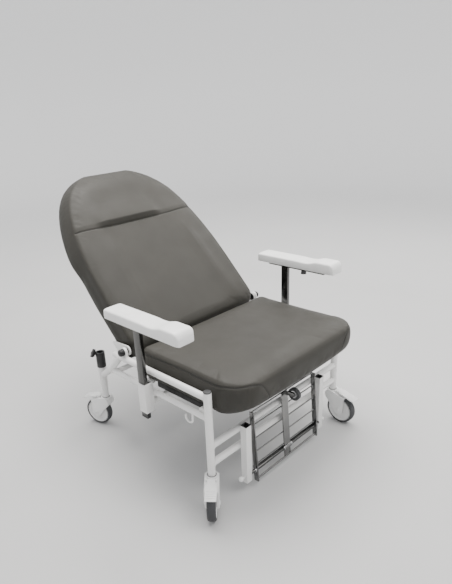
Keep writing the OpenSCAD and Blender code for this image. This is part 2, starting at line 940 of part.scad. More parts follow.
module footrest_grid() {
    inside = foot_half_w - foot_bar_t;
    color(dark_steel)
    footrest()
    difference() {
        union() {
            for (side = [-1, 1])
                mirror([side < 0 ? 1 : 0, 0, 0])
                block([inside, -foot_bar_w / 2, -foot_down], [foot_half_w, foot_bar_w / 2, foot_up]);
            for (k = [0:foot_wires - 1])
                bar_x(-inside, inside, centre_t / 2 + wire_d / 2, foot_first + foot_pitch * k, wire_d);
            bar_x(-inside, inside, 0, -foot_down + foot_rod_d, foot_rod_d);
            block([-foot_half_w, foot_bar_w / 2, -angle_down], [foot_half_w, foot_bar_w / 2 + angle_t, angle_up]);
            block([-inside, foot_bar_w / 2 + angle_t - angle_w, -angle_down],
                [inside, foot_bar_w / 2 + angle_t, angle_t - angle_down]);
        }
        bar_x(-foot_half_w - over, foot_half_w + over, 0, 0, foot_pin_d + 2 * run);
    }
}

module footrest_centre_bar() {
    top = foot_up;
    color(dark_steel)
    footrest()
    difference() {
        union() {
            block([-centre_w / 2, -centre_t / 2, -foot_down + foot_rod_d], [centre_w / 2, centre_t / 2, top]);
            bar_x(-centre_w / 2, centre_w / 2, 0, 0, centre_eye_d);
            block([roller_x - roller_w / 2 - arm_plate_t - over, -roller_out, top - roller_down - roller_axle_d],
                [roller_x - roller_w / 2 - over, 0, top - roller_down + roller_axle_d]);
            bar_x(roller_x - roller_w / 2 - arm_plate_t - over, roller_x - roller_w / 2 - over,
                -roller_out, top - roller_down, 2 * roller_axle_d);
            bar_x(roller_x - roller_w / 2 - over, roller_x + roller_w / 2 + over,
                -roller_out, top - roller_down, roller_axle_d);
            bar_x(roller_x + roller_w / 2 + over / 2, roller_x + roller_w / 2 + 3 * over,
                -roller_out, top - roller_down, 1.6 * roller_axle_d);
        }
        bar_x(-centre_w, centre_w, 0, 0, foot_pin_d + 2 * run);
        bar_x(-foot_half_w, foot_half_w, 0, -foot_down + foot_rod_d, foot_rod_d);
    }
}

module roller_ring(outer, inner) {
    footrest()
    difference() {
        bar_x(roller_x - roller_w / 2, roller_x + roller_w / 2, -roller_out, foot_up - roller_down, outer);
        bar_x(roller_x - roller_w, roller_x + roller_w, -roller_out, foot_up - roller_down, inner);
    }
}

module footrest_roller_tyre() {
    color(grey_plastic)
    roller_ring(roller_d, roller_hub_d);
}

module footrest_roller_hub() {
    color(steel)
    roller_ring(roller_hub_d, roller_axle_d + 2 * run);
}

// Castors: the wheel trails along +X of the castor's own frame, which turns about its stem
journal_d = 14;
journal_len = 18;
flange_t = 1.5;
stem_in = 70;
recess = 10;
recess_gap = 2;
collar_r = 23;
side_gap = 1.5;
top_gap = 2.5;
axle_d = 10;
axle_head_t = 1.5;
axle_head_d = 20;
cheek_round = 20;
hood_round = 8;
hood_u = 62;
hood_z = 122;
hub_half = 15;
hub_boss_r = 14;
hub_boss_half = 16.5;
hub_dish = 2.5;
hub_lip = 6;
knuckle_u = 31;
knuckle_z = 144;
knuckle_r = 6;
pedal_pin_d = 5;
pedal_w = 40;
knuckle_half = 13.5;
ear_t = 4;

castors = [
    [-leg_x, 0, front_left_angle, leg_d, leg_bore_d],
    [leg_x, 0, front_right_angle, leg_d, leg_bore_d],
    [-upright_x, upright_y, rear_left_angle, upright_d, upright_bore_d],
    [upright_x, upright_y, rear_right_angle, upright_d, upright_bore_d]];

module castor(k) {
    chair()
    translate([castors[k][0], castors[k][1], 0])
    rotate([0, 0, castors[k][2]])
    children();
}

module castor_stems() {
    color(steel)
    for (k = [0:3])
        castor(k) {
            bar_z(0, 0, leg_bottom, leg_bottom + stem_in, castors[k][4]);
            bar_z(0, 0, leg_bottom - flange_t, leg_bottom, castors[k][3]);
            bar_z(0, 0, leg_bottom - flange_t - journal_len, leg_bottom - flange_t, journal_d);
        }
}

wheel_r = wheel_d / 2;
pocket_r = wheel_r + top_gap;
pocket_w = tyre_w + 2 * side_gap;

function arc_points(c, r, a1, a2, steps) =
    [for (s = [0:steps]) let (a = a1 + (a2 - a1) * s / steps) [c[0] + r * cos(a), c[1] + r * sin(a)]];

function housing_outline() = concat(
    arc_points([hood_u, hood_z], hood_round, -35, 76, 6),
    arc_points([0, castor_h - collar_r], collar_r, 90, 212, 8),
    arc_points([trail, wheel_r], cheek_round, 212, 350, 8));

module housing(k) {
    color(white_paint)
    castor(k) {
        difference() {
            union() {
                bar_z(0, 0, castor_h - 2 * collar_r + recess, castor_h, 2 * collar_r);
                rotate([90, 0, 0])
                translate([0, 0, -housing_w / 2])
                linear_extrude(height = housing_w)
                polygon(housing_outline());
                for (side = [-1, 1])
                    hull() {
                        translate([knuckle_u, side * (knuckle_half + slip + ear_t / 2), knuckle_z])
                        rotate([90, 0, 0])
                        cylinder(h = ear_t, r = knuckle_r, center = true, $fn = 32);
                        translate([knuckle_u, side * (knuckle_half + slip + ear_t / 2), knuckle_z - 2 * knuckle_r])
                        rotate([90, 0, 0])
                        cylinder(h = ear_t, r = 1.5 * knuckle_r, center = true, $fn = 32);
                    }
            }
            rotate([90, 0, 0])
            translate([trail, wheel_r, -pocket_w / 2])
            cylinder(h = pocket_w, r = pocket_r);
            bar_z(0, 0, wheel_r, castor_h + over, journal_d + 2 * run);
            bar_z(0, 0, castor_h - recess, castor_h + over, castors[k][3] + recess_gap);
            bar_y(trail, -housing_w, housing_w, wheel_r, axle_d);
            bar_y(knuckle_u, -housing_w, housing_w, knuckle_z, pedal_pin_d);
        }
        bar_y(trail, -housing_w / 2, housing_w / 2, wheel_r, axle_d);
        for (side = [-1, 1])
            bar_y(trail, side * housing_w / 2, side * (housing_w / 2 + axle_head_t), wheel_r, axle_head_d);
        bar_y(knuckle_u, -knuckle_half - slip - ear_t, knuckle_half + slip + ear_t, knuckle_z, pedal_pin_d);
    }
}

module front_left_housing() { housing(0); }
module front_right_housing() { housing(1); }
module rear_left_housing() { housing(2); }
module rear_right_housing() { housing(3); }

hub_r = wheel_r - tyre_t;

module wheel_place(k) {
    castor(k)
    translate([trail, 0, wheel_r])
    rotate([90, 0, 0])
    children();
}

module hub(k) {
    bore_r = axle_d / 2 + run;
    half = [[bore_r, hub_boss_half], [hub_boss_r, hub_boss_half], [hub_boss_r + hub_dish, hub_half - hub_dish],
        [hub_r - hub_lip, hub_half - hub_dish], [hub_r - hub_lip + hub_dish, hub_half], [hub_r, hub_half]];
    color(white_paint)
    wheel_place(k)
    rotate_extrude()
    polygon(concat([for (p = half) [p[0], -p[1]]], [for (q = [5:-1:0]) half[q]]));
}

module front_left_hub() { hub(0); }
module front_right_hub() { hub(1); }
module rear_left_hub() { hub(2); }
module rear_right_hub() { hub(3); }

// Crown of the tyre as shares of its half width and of its thickness
tyre_crown_shares = [[0.94, 0], [1, 0.4], [0.84, 0.78], [0.5, 0.97]];

module tyre(k) {
    half = [for (s = tyre_crown_shares) [hub_r + tyre_t * s[1], tyre_w / 2 * s[0]]];
    color(grey_plastic)
    wheel_place(k)
    rotate_extrude()
    polygon(concat([for (p = half) [p[0], -p[1]]], [[wheel_r, 0]], [for (q = [3:-1:0]) half[q]]));
}

module front_left_tyre() { tyre(0); }
module front_right_tyre() { tyre(1); }
module rear_left_tyre() { tyre(2); }
module rear_right_tyre() { tyre(3); }

// Brake pedal: a bent paddle over the wheel, hinged between two ears of the housing
pedal_mid_u = 62;
pedal_mid_z = 137;
pedal_tip_u = 112;
pedal_tip_z = 124;
pedal_t = 6;
pedal_tip_t = 5;
pedal_neck_u = 42;

module pedal(k) {
    color(white_paint)
    castor(k)
    difference() {
        union() {
            bar_y(knuckle_u, -knuckle_half, knuckle_half, knuckle_z, 2 * knuckle_r);
            rotate([90, 0, 0])
            translate([0, 0, -knuckle_half])
            linear_extrude(height = 2 * knuckle_half)
            polygon([[knuckle_u, knuckle_z - 3 * pedal_t / 4], [pedal_mid_u, pedal_mid_z],
                [pedal_mid_u, pedal_mid_z + pedal_t], [knuckle_u, knuckle_z + knuckle_r]]);
            rotate([90, 0, 0])
            translate([0, 0, -pedal_w / 2])
            linear_extrude(height = pedal_w)
            polygon([[pedal_neck_u, pedal_mid_z + pedal_t / 3], [pedal_mid_u, pedal_mid_z],
                [pedal_tip_u, pedal_tip_z], [pedal_tip_u + pedal_tip_t / 2, pedal_tip_z + pedal_tip_t / 2],
                [pedal_tip_u, pedal_tip_z + pedal_tip_t],
                [pedal_mid_u, pedal_mid_z + pedal_t], [pedal_neck_u, pedal_mid_z + 1.5 * pedal_t]]);
        }
        bar_y(knuckle_u, -pedal_w, pedal_w, knuckle_z, pedal_pin_d + 2 * run);
    }
}

module front_left_pedal() { pedal(0); }
module front_right_pedal() { pedal(1); }
module rear_left_pedal() { pedal(2); }
module rear_right_pedal() { pedal(3); }

// Back: its own frame has X across, Z up along the back and Y to its rear
module back() {
    chair()
    translate([0, hinge_y, hinge_z])
    rotate([-back_tilt, 0, 0])
    children();
}

board_rear = back_rear + back_board_t;
flat_t = 4;
flat_low = 28;
flat_high = 68;
gusset_r = 20;
gusset_far = 72;
gusset_round = 6;
gusset_rear = board_rear + flat_t - gusset_round;
back_rail_in = 178;
back_rail_x = back_half_w - back_rail_in;
back_rail_w = 25;
back_rail_t = 20;
back_rail_top = 570;
back_bar_s = 520;
lever_y = lever_r * sin(back_tilt);
lever_s = lever_r * cos(back_tilt);
lever_half = 11;

module gusset(side) {
    color(white_paint)
    mirror([side < 0 ? 1 : 0, 0, 0])
    difference() {
        translate([gusset_in, 0, 0])
        rotate([90, 0, 90])
        linear_extrude(height = gusset_t)
        polygon(concat(
            arc_points([0, 0], gusset_r, 145, 290, 10),
            arc_points([gusset_rear, flat_low + gusset_round], gusset_round, -66, 0, 3),
            arc_points([gusset_rear, gusset_far - gusset_round], gusset_round, 0, 145, 5)));
        bar_x(gusset_in - over, gusset_in + gusset_t + over, 0, 0, hinge_pin_d + 2 * run);
    }
}

module back_frame() {
    color(white_paint)
    back() {
        gusset(-1);
        gusset(1);
        block([-gusset_in, board_rear, flat_low], [gusset_in, board_rear + flat_t, flat_high]);
        for (side = [-1, 1])
            mirror([side < 0 ? 1 : 0, 0, 0])
            difference() {
                block([back_rail_x - back_rail_w / 2, board_rear, flat_high],
                    [back_rail_x + back_rail_w / 2, board_rear + back_rail_t, back_rail_top]);
                block([back_rail_x - back_rail_w / 2 + tube_wall, board_rear + tube_wall, flat_high - over],
                    [back_rail_x + back_rail_w / 2 - tube_wall, board_rear + back_rail_t - tube_wall,
                        back_rail_top + over]);
            }
        block([-back_rail_x + back_rail_w / 2, board_rear, back_bar_s],
            [back_rail_x - back_rail_w / 2, board_rear + back_rail_t, back_bar_s + back_rail_w]);
        for (side = [-1, 1])
            mirror([side < 0 ? 1 : 0, 0, 0]) {
                translate([cheek_in, 0, 0])
                rotate([90, 0, 90])
                linear_extrude(height = cheek_t)
                polygon(concat(
                    [[board_rear, flat_low], [board_rear, -back_board_low]],
                    arc_points([lever_y, -lever_s], lever_half, 170, 360, 10),
                    [[board_rear + back_rail_t, flat_low]]));
            }
        bar_x(-cheek_in - over, cheek_in + over, lever_y, -lever_s, small_pin_d);
        difference() {
            block([lever_mount_x, board_rear + over, release_s - lever_mount_h],
                [lever_mount_x + bracket_t, board_rear + back_rail_t, release_s + lever_mount_h]);
            bar_x(lever_mount_x - over, lever_mount_x + lever_grip_len, release_y, release_s, release_pin_d);
        }
        bar_x(lever_mount_x, lever_mount_x + bracket_t + release_t + 2 * slip + over, release_y, release_s,
            release_pin_d);
        bar_x(lever_mount_x + bracket_t + release_t + 2 * slip, lever_mount_x + bracket_t + release_t + 2 * over,
            release_y, release_s, 2 * release_pin_d);
    }
}

// Release lever of the gas spring, on the right rail behind the back
release_pin_d = 8;
release_t = 5;
release_s = 300;
lever_mount_x = back_rail_x + back_rail_w / 2;
lever_mount_h = 12;
release_y = board_rear + back_rail_t / 2;
release_len = 90;
lever_grip_len = 70;
grip_d = 18;

module recline_lever() {
    x = lever_mount_x + bracket_t + slip;
    color(black_plastic)
    back()
    difference() {
        union() {
            block([x, release_y - grip_d / 2, release_s - release_len], [x + release_t, release_y + grip_d / 2, release_s]);
            bar_x(x, x + release_t, release_y, release_s, grip_d);
            bar_x(x, x + lever_grip_len, release_y, release_s - release_len, grip_d);
        }
        bar_x(x - over, x + release_t + over, release_y, release_s, release_pin_d + 2 * run);
    }
}

back_board_in = 5;
back_board_low = 26;
back_board_share = 0.97;

// Outline of the back: straight sides, then a rounded egg-shaped head with a nearly flat top
taper_power = 2.2;
taper_root = 2.9;
back_corner = 42;
function back_width(s) =
    s < -back_below + back_corner
        ? back_half_w - back_corner
            + sqrt(max(0, pow(back_corner, 2) - pow(back_corner - (s + back_below), 2)))
        : s < taper_from ? back_half_w
        : back_half_w * pow(1 - pow((s - taper_from) / (back_len - taper_from), taper_power), 1 / taper_root);

seam_fold = 14;
back_places = concat(
    [for (a = [0:22.5:90]) -back_below + arc_in(back_corner, a)],
    [for (k = [1:7]) -back_below + back_corner
        + (head_seam - seam_fold + back_below - back_corner) * k / 7],
    [head_seam - seam_fold / 3, head_seam + seam_fold / 3, head_seam + seam_fold],
    [for (k = [1:7]) head_seam + seam_fold + (back_top - head_seam - seam_fold) * sin(90 * k / 7)]);
back_rows = [for (s = back_places) [s, back_width(s)]];
back_columns = 16;
back_fall = 40;
head_fall = 130;
fold_depth = 13;
head_roll = 14;
function fell(e) = 1 - pow(1 - min(1, max(0, e)), 2);
function back_top_at(s, t) =
    back_seam
    + back_crown * fell((s + back_below) / back_fall) * fell((back_top - s) / head_fall) * (1 - pow(abs(t), 2.6))
    + (s > head_seam ? head_roll * fell((s - head_seam) / (2 * seam_fold)) * fell((back_top - s) / head_fall)
        * (1 - pow(abs(t), 2)) : 0)
    - fold_depth * exp(-pow((s - head_seam) / seam_fold, 2)) * (1 - pow(abs(t), 4));
back_tops = [for (s = back_places) [for (i = [0:back_columns]) back_top_at(s, across_share(i, back_columns))]];
back_middle = (back_top - back_below) / 2;

module back_cushion() {
    color(vinyl)
    back()
    rotate([90, 0, 0])
    cushion(back_rows, back_tops, back_columns, -back_rear, back_bulge, back_middle, 1);
}

module back_board() {
    color(black_plastic)
    back()
    translate([0, board_rear, 0])
    rotate([90, 0, 0])
    linear_extrude(height = back_board_t)
    polygon(concat(
        [for (s = back_places) if (s > -back_board_low) [back_width(s) - back_board_in, s * back_board_share]],
        [for (k = [len(back_places) - 1:-1:0]) let (s = back_places[k])
            if (s > -back_board_low) [-back_width(s) + back_board_in, s * back_board_share]]));
}

// Gas spring between the seat's front bracket and the back's lever, drawn level with its mean swing
spring_rest_tilt = 0.95;
lever_pin_y = hinge_y;
lever_pin_z = hinge_z - lever_r;
spring_slack = 0.7;
spring_len = norm([lever_pin_y - anchor_y, lever_pin_z - anchor_z]) + spring_slack;
spring_tilt = atan2(lever_pin_z - anchor_z, lever_pin_y - anchor_y) + spring_rest_tilt;
cylinder_from = 15;
cylinder_len = 222;
cylinder_wall = 3;
gland_t = 8;
rod_back = 226;
piston_t = 12;
eye_ring = 4.5;
clevis_d = 18;

module spring() {
    chair()
    translate([0, anchor_y, anchor_z])
    rotate([spring_tilt - 90, 0, 0])
    children();
}

module gas_spring_cylinder() {
    color(black_plastic)
    spring()
    difference() {
        union() {
            bar_z(0, 0, cylinder_from, cylinder_from + cylinder_len, cylinder_d);
            bar_x(-eye_w / 2, eye_w / 2, 0, 0, clevis_d);
            block([-eye_w / 2, -clevis_d / 2, 0], [eye_w / 2, clevis_d / 2, cylinder_from + over]);
        }
        bar_x(-eye_w, eye_w, 0, 0, small_pin_d + 2 * run);
        bar_z(0, 0, cylinder_from + gland_t, cylinder_from + cylinder_len - gland_t, cylinder_d - 2 * cylinder_wall);
        bar_z(0, 0, cylinder_from + gland_t, cylinder_from + cylinder_len + over, rod_d + 2 * run);
    }
}

module gas_spring_rod() {
    color(steel)
    spring()
    difference() {
        union() {
            bar_z(0, 0, spring_len - rod_back, spring_len, rod_d);
            bar_z(0, 0, spring_len - rod_back, spring_len - rod_back + piston_t,
                cylinder_d - 2 * cylinder_wall - 2 * run);
            bar_x(-eye_w / 2, eye_w / 2, 0, spring_len, eye_d + 2 * eye_ring);
        }
        bar_x(-eye_w, eye_w, 0, spring_len, eye_d);
    }
}

front_leg_left();
front_leg_right();
upper_side_rails();
lower_side_rails();
front_cross_rails();
rear_diagonals();
rear_uprights();
under_cross_rails();
tube_caps();
frame_brackets();
hinge_pins();
seat_board();
seat_cushion();
arm_socket_left();
arm_socket_right();
arm_guides();
leg_socket_left();
leg_socket_right();
pole_socket_left();
pole_socket_right();
bag_hooks();
footrest_hinge_bar();
footrest_collars();
castor_stems();
star_knob_left();
star_knob_right();
hand_screw_left();
hand_screw_right();
front_left_housing();
front_right_housing();
rear_left_housing();
rear_right_housing();
front_left_hub();
front_right_hub();
rear_left_hub();
rear_right_hub();
front_left_tyre();
front_right_tyre();
rear_left_tyre();
rear_right_tyre();
front_left_pedal();
front_right_pedal();
rear_left_pedal();
rear_right_pedal();
back_frame();
back_board();
back_cushion();
recline_lever();
gas_spring_cylinder();
gas_spring_rod();
footrest_grid();
footrest_centre_bar();
footrest_roller_tyre();
footrest_roller_hub();
arm_post_left();
arm_post_right();
arm_pad_left();
arm_pad_right();
arm_knob_left();
arm_knob_right();
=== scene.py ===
"""Looks of the phlebotomy chair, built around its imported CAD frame."""
import json
import math

import bmesh
import bpy
import numpy as np
from mathutils import Matrix, Vector
from mathutils.bvhtree import BVHTree
from mathutils.kdtree import KDTree


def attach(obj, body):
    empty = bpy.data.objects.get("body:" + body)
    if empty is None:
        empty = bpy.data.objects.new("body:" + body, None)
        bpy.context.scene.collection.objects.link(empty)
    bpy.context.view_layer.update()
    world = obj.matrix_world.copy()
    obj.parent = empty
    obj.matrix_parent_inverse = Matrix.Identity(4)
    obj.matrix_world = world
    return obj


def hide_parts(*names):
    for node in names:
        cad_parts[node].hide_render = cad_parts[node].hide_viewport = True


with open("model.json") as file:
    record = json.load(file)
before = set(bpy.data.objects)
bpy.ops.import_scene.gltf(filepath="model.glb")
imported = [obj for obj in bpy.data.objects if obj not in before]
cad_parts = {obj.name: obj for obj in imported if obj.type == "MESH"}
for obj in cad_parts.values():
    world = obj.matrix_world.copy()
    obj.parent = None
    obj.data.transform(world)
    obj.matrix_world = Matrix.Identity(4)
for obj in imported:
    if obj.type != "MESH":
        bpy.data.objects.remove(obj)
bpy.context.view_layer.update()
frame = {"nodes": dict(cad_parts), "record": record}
nodes = frame["nodes"]
scene = bpy.context.scene

MM = 0.001
JOINTS = {joint["name"]: joint for joint in frame["record"]["behaviour"]["joints"]}
HINGE_BEHIND_LEGS = 442
HINGE_Y, HINGE_Z = JOINTS["recline"]["pos_m"][1:]
MIDDLE_Y = HINGE_BEHIND_LEGS * MM - HINGE_Y
TILT = math.radians(44)
SIDES = ((-1, "left"), (1, "right"))

# Sizes of the frame, in millimetres with Y measured from the front legs
LEG_X, LEG_R = 382, 14
UPPER_Z, UPPER_R = 449, 12.5
LOWER_Z, LOWER_R = 370, 11
CROSS_ZS = (261, 189)
UPRIGHT_X, UPRIGHT_Y, SLEEVE_R = 318, 721, 17
BEND_Y = 547
SLEEVE_MIDDLE = 251.5
SOCKET_X, SOCKET_Y, SOCKET_HALF, SOCKET_TOP = 228, -26, 13.5, 278
ARM_FRONT, ARM_REAR, ARM_INNER = 268, 308, 393
MID_CROSS_Y, MID_CROSS_Z = 284, 332
REAR_CROSS_Y = 512

X_AXIS, Y_AXIS, Z_AXIS = Vector((1, 0, 0)), Vector((0, 1, 0)), Vector((0, 0, 1))


# Materials: each is a node tree with its own colour variation, roughness and bump

# Sockets of a Mix node that mixes colours
MIX_FACTOR, MIX_A, MIX_B, MIX_RESULT = 0, 6, 7, 2


def new_material(name):
    mat = bpy.data.materials.new(name)
    mat.use_nodes = True
    tree = mat.node_tree
    bsdf = tree.nodes["Principled BSDF"]
    coord = tree.nodes.new("ShaderNodeTexCoord")
    return mat, tree, bsdf, coord.outputs["Object"]


def put(node, values):
    """Sets constants on a node's inputs."""
    for name, value in values.items():
        node.inputs[name].default_value = value


def noise_node(tree, where, scale, detail=3.0, rough=0.5, stretch=None):
    """Noise at the given scale; stretch multiplies the place along each axis first."""
    if stretch:
        mapping = tree.nodes.new("ShaderNodeMapping")
        put(mapping, {"Scale": stretch})
        tree.links.new(where, mapping.inputs["Vector"])
        where = mapping.outputs["Vector"]
    node = tree.nodes.new("ShaderNodeTexNoise")
    put(node, {"Scale": scale, "Detail": detail, "Roughness": rough})
    tree.links.new(where, node.inputs["Vector"])
    return node.outputs["Fac"]


def cells_node(tree, where, scale):
    node = tree.nodes.new("ShaderNodeTexVoronoi")
    put(node, {"Scale": scale})
    tree.links.new(where, node.inputs["Vector"])
    return node.outputs["Distance"]


def ramp(tree, fac, stops):
    """A colour ramp with two stops, each a place and a colour."""
    node = tree.nodes.new("ShaderNodeValToRGB")
    for element, (place, colour) in zip(node.color_ramp.elements, stops):
        element.position = place
        element.color = (*colour, 1)
    tree.links.new(fac, node.inputs["Fac"])
    return node.outputs["Color"]


def span(tree, fac, low, high, from_low=0.3, from_high=0.7):
    """The value fac, with from_low to from_high stretched to low to high."""
    node = tree.nodes.new("ShaderNodeMapRange")
    put(node, {"From Min": from_low, "From Max": from_high, "To Min": low, "To Max": high})
    tree.links.new(fac, node.inputs["Value"])
    return node.outputs["Result"]


def mixed(tree, fac, a, b):
    """Colour a where fac is 0 and b where it is 1; each is a colour or a socket."""
    node = tree.nodes.new("ShaderNodeMix")
    node.data_type = "RGBA"
    for socket, value in ((node.inputs[MIX_A], a), (node.inputs[MIX_B], b)):
        if isinstance(value, tuple):
            socket.default_value = (*value, 1)
        else:
            tree.links.new(value, socket)
    if isinstance(fac, float):
        node.inputs[MIX_FACTOR].default_value = fac
    else:
        tree.links.new(fac, node.inputs[MIX_FACTOR])
    return node.outputs[MIX_RESULT]


def added(tree, a, b, share):
    """a plus that share of b."""
    node = tree.nodes.new("ShaderNodeMath")
    node.operation = "MULTIPLY_ADD"
    tree.links.new(b, node.inputs[0])
    node.inputs[1].default_value = share
    tree.links.new(a, node.inputs[2])
    return node.outputs[0]


def bumped(tree, bsdf, height, strength, distance):
    node = tree.nodes.new("ShaderNodeBump")
    put(node, {"Strength": strength, "Distance": distance})
    tree.links.new(height, node.inputs["Height"])
    tree.links.new(node.outputs["Normal"], bsdf.inputs["Normal"])


def vinyl(name, dark, light, worn):
    """Soft grained vinyl: clouds from dark to light, with fine worn specks."""
    mat, tree, bsdf, where = new_material(name)
    cloud = noise_node(tree, where, 5.0, 4.0, 0.55)
    fine = noise_node(tree, where, 900.0, 2.0, 0.6)
    base = ramp(tree, cloud, [(0.3, dark), (0.7, light)])
    speck = mixed(tree, span(tree, fine, 0.0, 0.3), base, worn)
    tree.links.new(speck, bsdf.inputs["Base Color"])
    sheen = noise_node(tree, where, 14.0, 4.0)
    tree.links.new(span(tree, sheen, 0.46, 0.6), bsdf.inputs["Roughness"])
    put(bsdf, {"Specular IOR Level": 0.22})
    grain = added(tree, cells_node(tree, where, 650.0), fine, 0.5)
    bumped(tree, bsdf, grain, 0.22, 0.0004)
    return mat


def paint(name, colour, shade, rough=(0.3, 0.42)):
    """Powder coat with clouds of a shade, faint grime and a slight orange peel."""
    mat, tree, bsdf, where = new_material(name)
    cloud = noise_node(tree, where, 7.0, 5.0, 0.6)
    grime = noise_node(tree, where, 38.0, 6.0, 0.65)
    base = ramp(tree, cloud, [(0.3, shade), (0.62, colour)])
    dirt = tuple(0.6 * c for c in shade)
    spots = mixed(tree, span(tree, grime, 0.0, 0.22, 0.62, 0.8), base, dirt)
    tree.links.new(spots, bsdf.inputs["Base Color"])
    tree.links.new(span(tree, grime, *rough), bsdf.inputs["Roughness"])
    put(bsdf, {"Coat Weight": 0.15, "Coat Roughness": 0.2})
    bumped(tree, bsdf, noise_node(tree, where, 420.0, 2.0), 0.12, 0.0004)
    return mat


def steel(name, colour, shade, rough, stretch, strength=0.2):
    """Brushed metal; stretch gives the way of its streaks."""
    mat, tree, bsdf, where = new_material(name)
    streak = noise_node(tree, where, 300.0, 3.0, 0.6, stretch)
    cloud = noise_node(tree, where, 9.0, 4.0, 0.6)
    tint = ramp(tree, cloud, [(0.3, shade), (0.7, colour)])
    brushed = mixed(tree, span(tree, streak, 0.0, 0.35), tint, shade)
    tree.links.new(brushed, bsdf.inputs["Base Color"])
    put(bsdf, {"Metallic": 1.0})
    sheen = added(tree, streak, cloud, 0.5)
    tree.links.new(span(tree, sheen, *rough, 0.4, 1.1), bsdf.inputs["Roughness"])
    bumped(tree, bsdf, streak, strength, 0.0002)
    return mat


def moulded(name, colour, shade, rough, grain_scale=520.0, strength=0.2, level=0.45):
    """Moulded plastic, foam skin or rubber with a fine grain."""
    mat, tree, bsdf, where = new_material(name)
    cloud = noise_node(tree, where, 16.0, 5.0, 0.6)
    tree.links.new(ramp(tree, cloud, [(0.3, shade), (0.65, colour)]), bsdf.inputs["Base Color"])
    sheen = noise_node(tree, where, 60.0, 4.0)
    tree.links.new(span(tree, sheen, *rough), bsdf.inputs["Roughness"])
    put(bsdf, {"Specular IOR Level": level})
    cells = cells_node(tree, where, grain_scale)
    grain = added(tree, cells, noise_node(tree, where, 1400.0, 1.0), 0.4)
    bumped(tree, bsdf, grain, strength, 0.0003)
    return mat


def panel(name, colour, shade):
    """Board whose grain shows through its paint."""
    mat, tree, bsdf, where = new_material(name)
    grain = noise_node(tree, where, 60.0, 6.0, 0.65, (1.0, 12.0, 12.0))
    tree.links.new(ramp(tree, grain, [(0.35, shade), (0.7, colour)]), bsdf.inputs["Base Color"])
    tree.links.new(span(tree, grain, 0.55, 0.75), bsdf.inputs["Roughness"])
    bumped(tree, bsdf, grain, 0.35, 0.0005)
    return mat


VINYL = vinyl("upholstery_vinyl",
    (0.03, 0.0286, 0.0247), (0.0375, 0.0357, 0.0308), (0.051, 0.0487, 0.0425))
THREAD = moulded("seam_thread",
    (0.016, 0.016, 0.016), (0.01, 0.01, 0.01), (0.6, 0.75), 1500.0, 0.4)
WHITE = paint("white_powder_coat", (0.8, 0.795, 0.785), (0.74, 0.735, 0.725))
SATIN = steel("satin_stainless",
    (0.105, 0.105, 0.103), (0.08, 0.08, 0.079), (0.16, 0.26), (6.0, 6.0, 0.35))
FOOT_STEEL = steel("footrest_stainless",
    (0.24, 0.24, 0.238), (0.18, 0.18, 0.179), (0.16, 0.28), (0.5, 5.0, 5.0))
BRIGHT = steel("bright_steel",
    (0.5, 0.5, 0.505), (0.42, 0.42, 0.43), (0.08, 0.18), (3.0, 3.0, 3.0), 0.08)
BLACK = moulded("black_plastic", (0.012, 0.012, 0.013), (0.008, 0.008, 0.009), (0.38, 0.52))
GREY = moulded("grey_plastic", (0.06, 0.061, 0.063), (0.045, 0.046, 0.048), (0.45, 0.6))
BLACK_METAL = paint("black_enamel", (0.014, 0.014, 0.015), (0.009, 0.009, 0.01))
PAD = moulded("arm_pad_skin",
    (0.8, 0.8, 0.79), (0.75, 0.75, 0.74), (0.36, 0.5), 800.0, 0.12, 0.5)
GLOSS = moulded("white_moulding",
    (0.78, 0.78, 0.775), (0.72, 0.72, 0.715), (0.28, 0.4), 900.0, 0.06, 0.5)
CASTOR = moulded("castor_nylon",
    (0.76, 0.76, 0.755), (0.69, 0.69, 0.685), (0.34, 0.48), 700.0, 0.12)
TYRE = moulded("grey_rubber",
    (0.062, 0.063, 0.066), (0.046, 0.047, 0.05), (0.62, 0.8), 420.0, 0.3, 0.3)
BOARD = panel("painted_board", (0.016, 0.0155, 0.015), (0.009, 0.009, 0.009))


def front_and_rear(name, front, rear):
    """One plastic: pieces in front of the middle have one colour, those behind it another."""
    mat = moulded(name, front, front, (0.36, 0.5))
    tree = mat.node_tree
    place = tree.nodes.new("ShaderNodeSeparateXYZ")
    tree.links.new(tree.nodes.new("ShaderNodeNewGeometry").outputs["Position"], place.inputs[0])
    behind = span(tree, place.outputs["Y"], 0.0, 1.0, -0.01, 0.01)
    bsdf = tree.nodes["Principled BSDF"]
    colour = bsdf.inputs["Base Color"].links[0].from_socket
    tree.links.new(mixed(tree, behind, colour, rear), bsdf.inputs["Base Color"])
    return mat


CAPS = front_and_rear("tube_cap_plastic", (0.032, 0.0325, 0.034), (0.78, 0.78, 0.77))
OWN_FINISH = {"footrest_grid": FOOT_STEEL, "footrest_centre_bar": FOOT_STEEL, "tube_caps": CAPS}

SLOTS = {"white_frame": WHITE, "grey_plastic": GREY, "black_plastic": BLACK,
    "black_metal": BLACK_METAL, "board": BOARD, "upholstery": VINYL, "satin_steel": SATIN,
    "bright_steel": BRIGHT, "white_plastic": GLOSS, "arm_pad": PAD, "castor_white": CASTOR,
    "tyre": TYRE}
COVERED = ("seat_cushion", "back_cushion", "arm_pad_left", "arm_pad_right")
EDGE_WIDTH = 0.0006
MERGE_DISTANCE = 0.00001
SHARP_ANGLE = 35


def dress_nodes():
    """Gives every CAD node its finish, and those in sight rounded edges and smooth shading."""
    for part in frame["record"]["subparts"]:
        node = nodes[part["node"]]
        mat = OWN_FINISH.get(part["node"], SLOTS[part["material_slot"]])
        node.data.materials.clear()
        node.data.materials.append(mat)
    for name, node in nodes.items():
        if name not in COVERED:
            edge_rounding(node, EDGE_WIDTH)
            smooth_shading(node)


def bevelled(obj, width, segments, angle):
    bevel = obj.modifiers.new("bevel", "BEVEL")
    bevel.width = width
    bevel.segments = segments
    bevel.limit_method = "ANGLE"
    bevel.angle_limit = math.radians(angle)


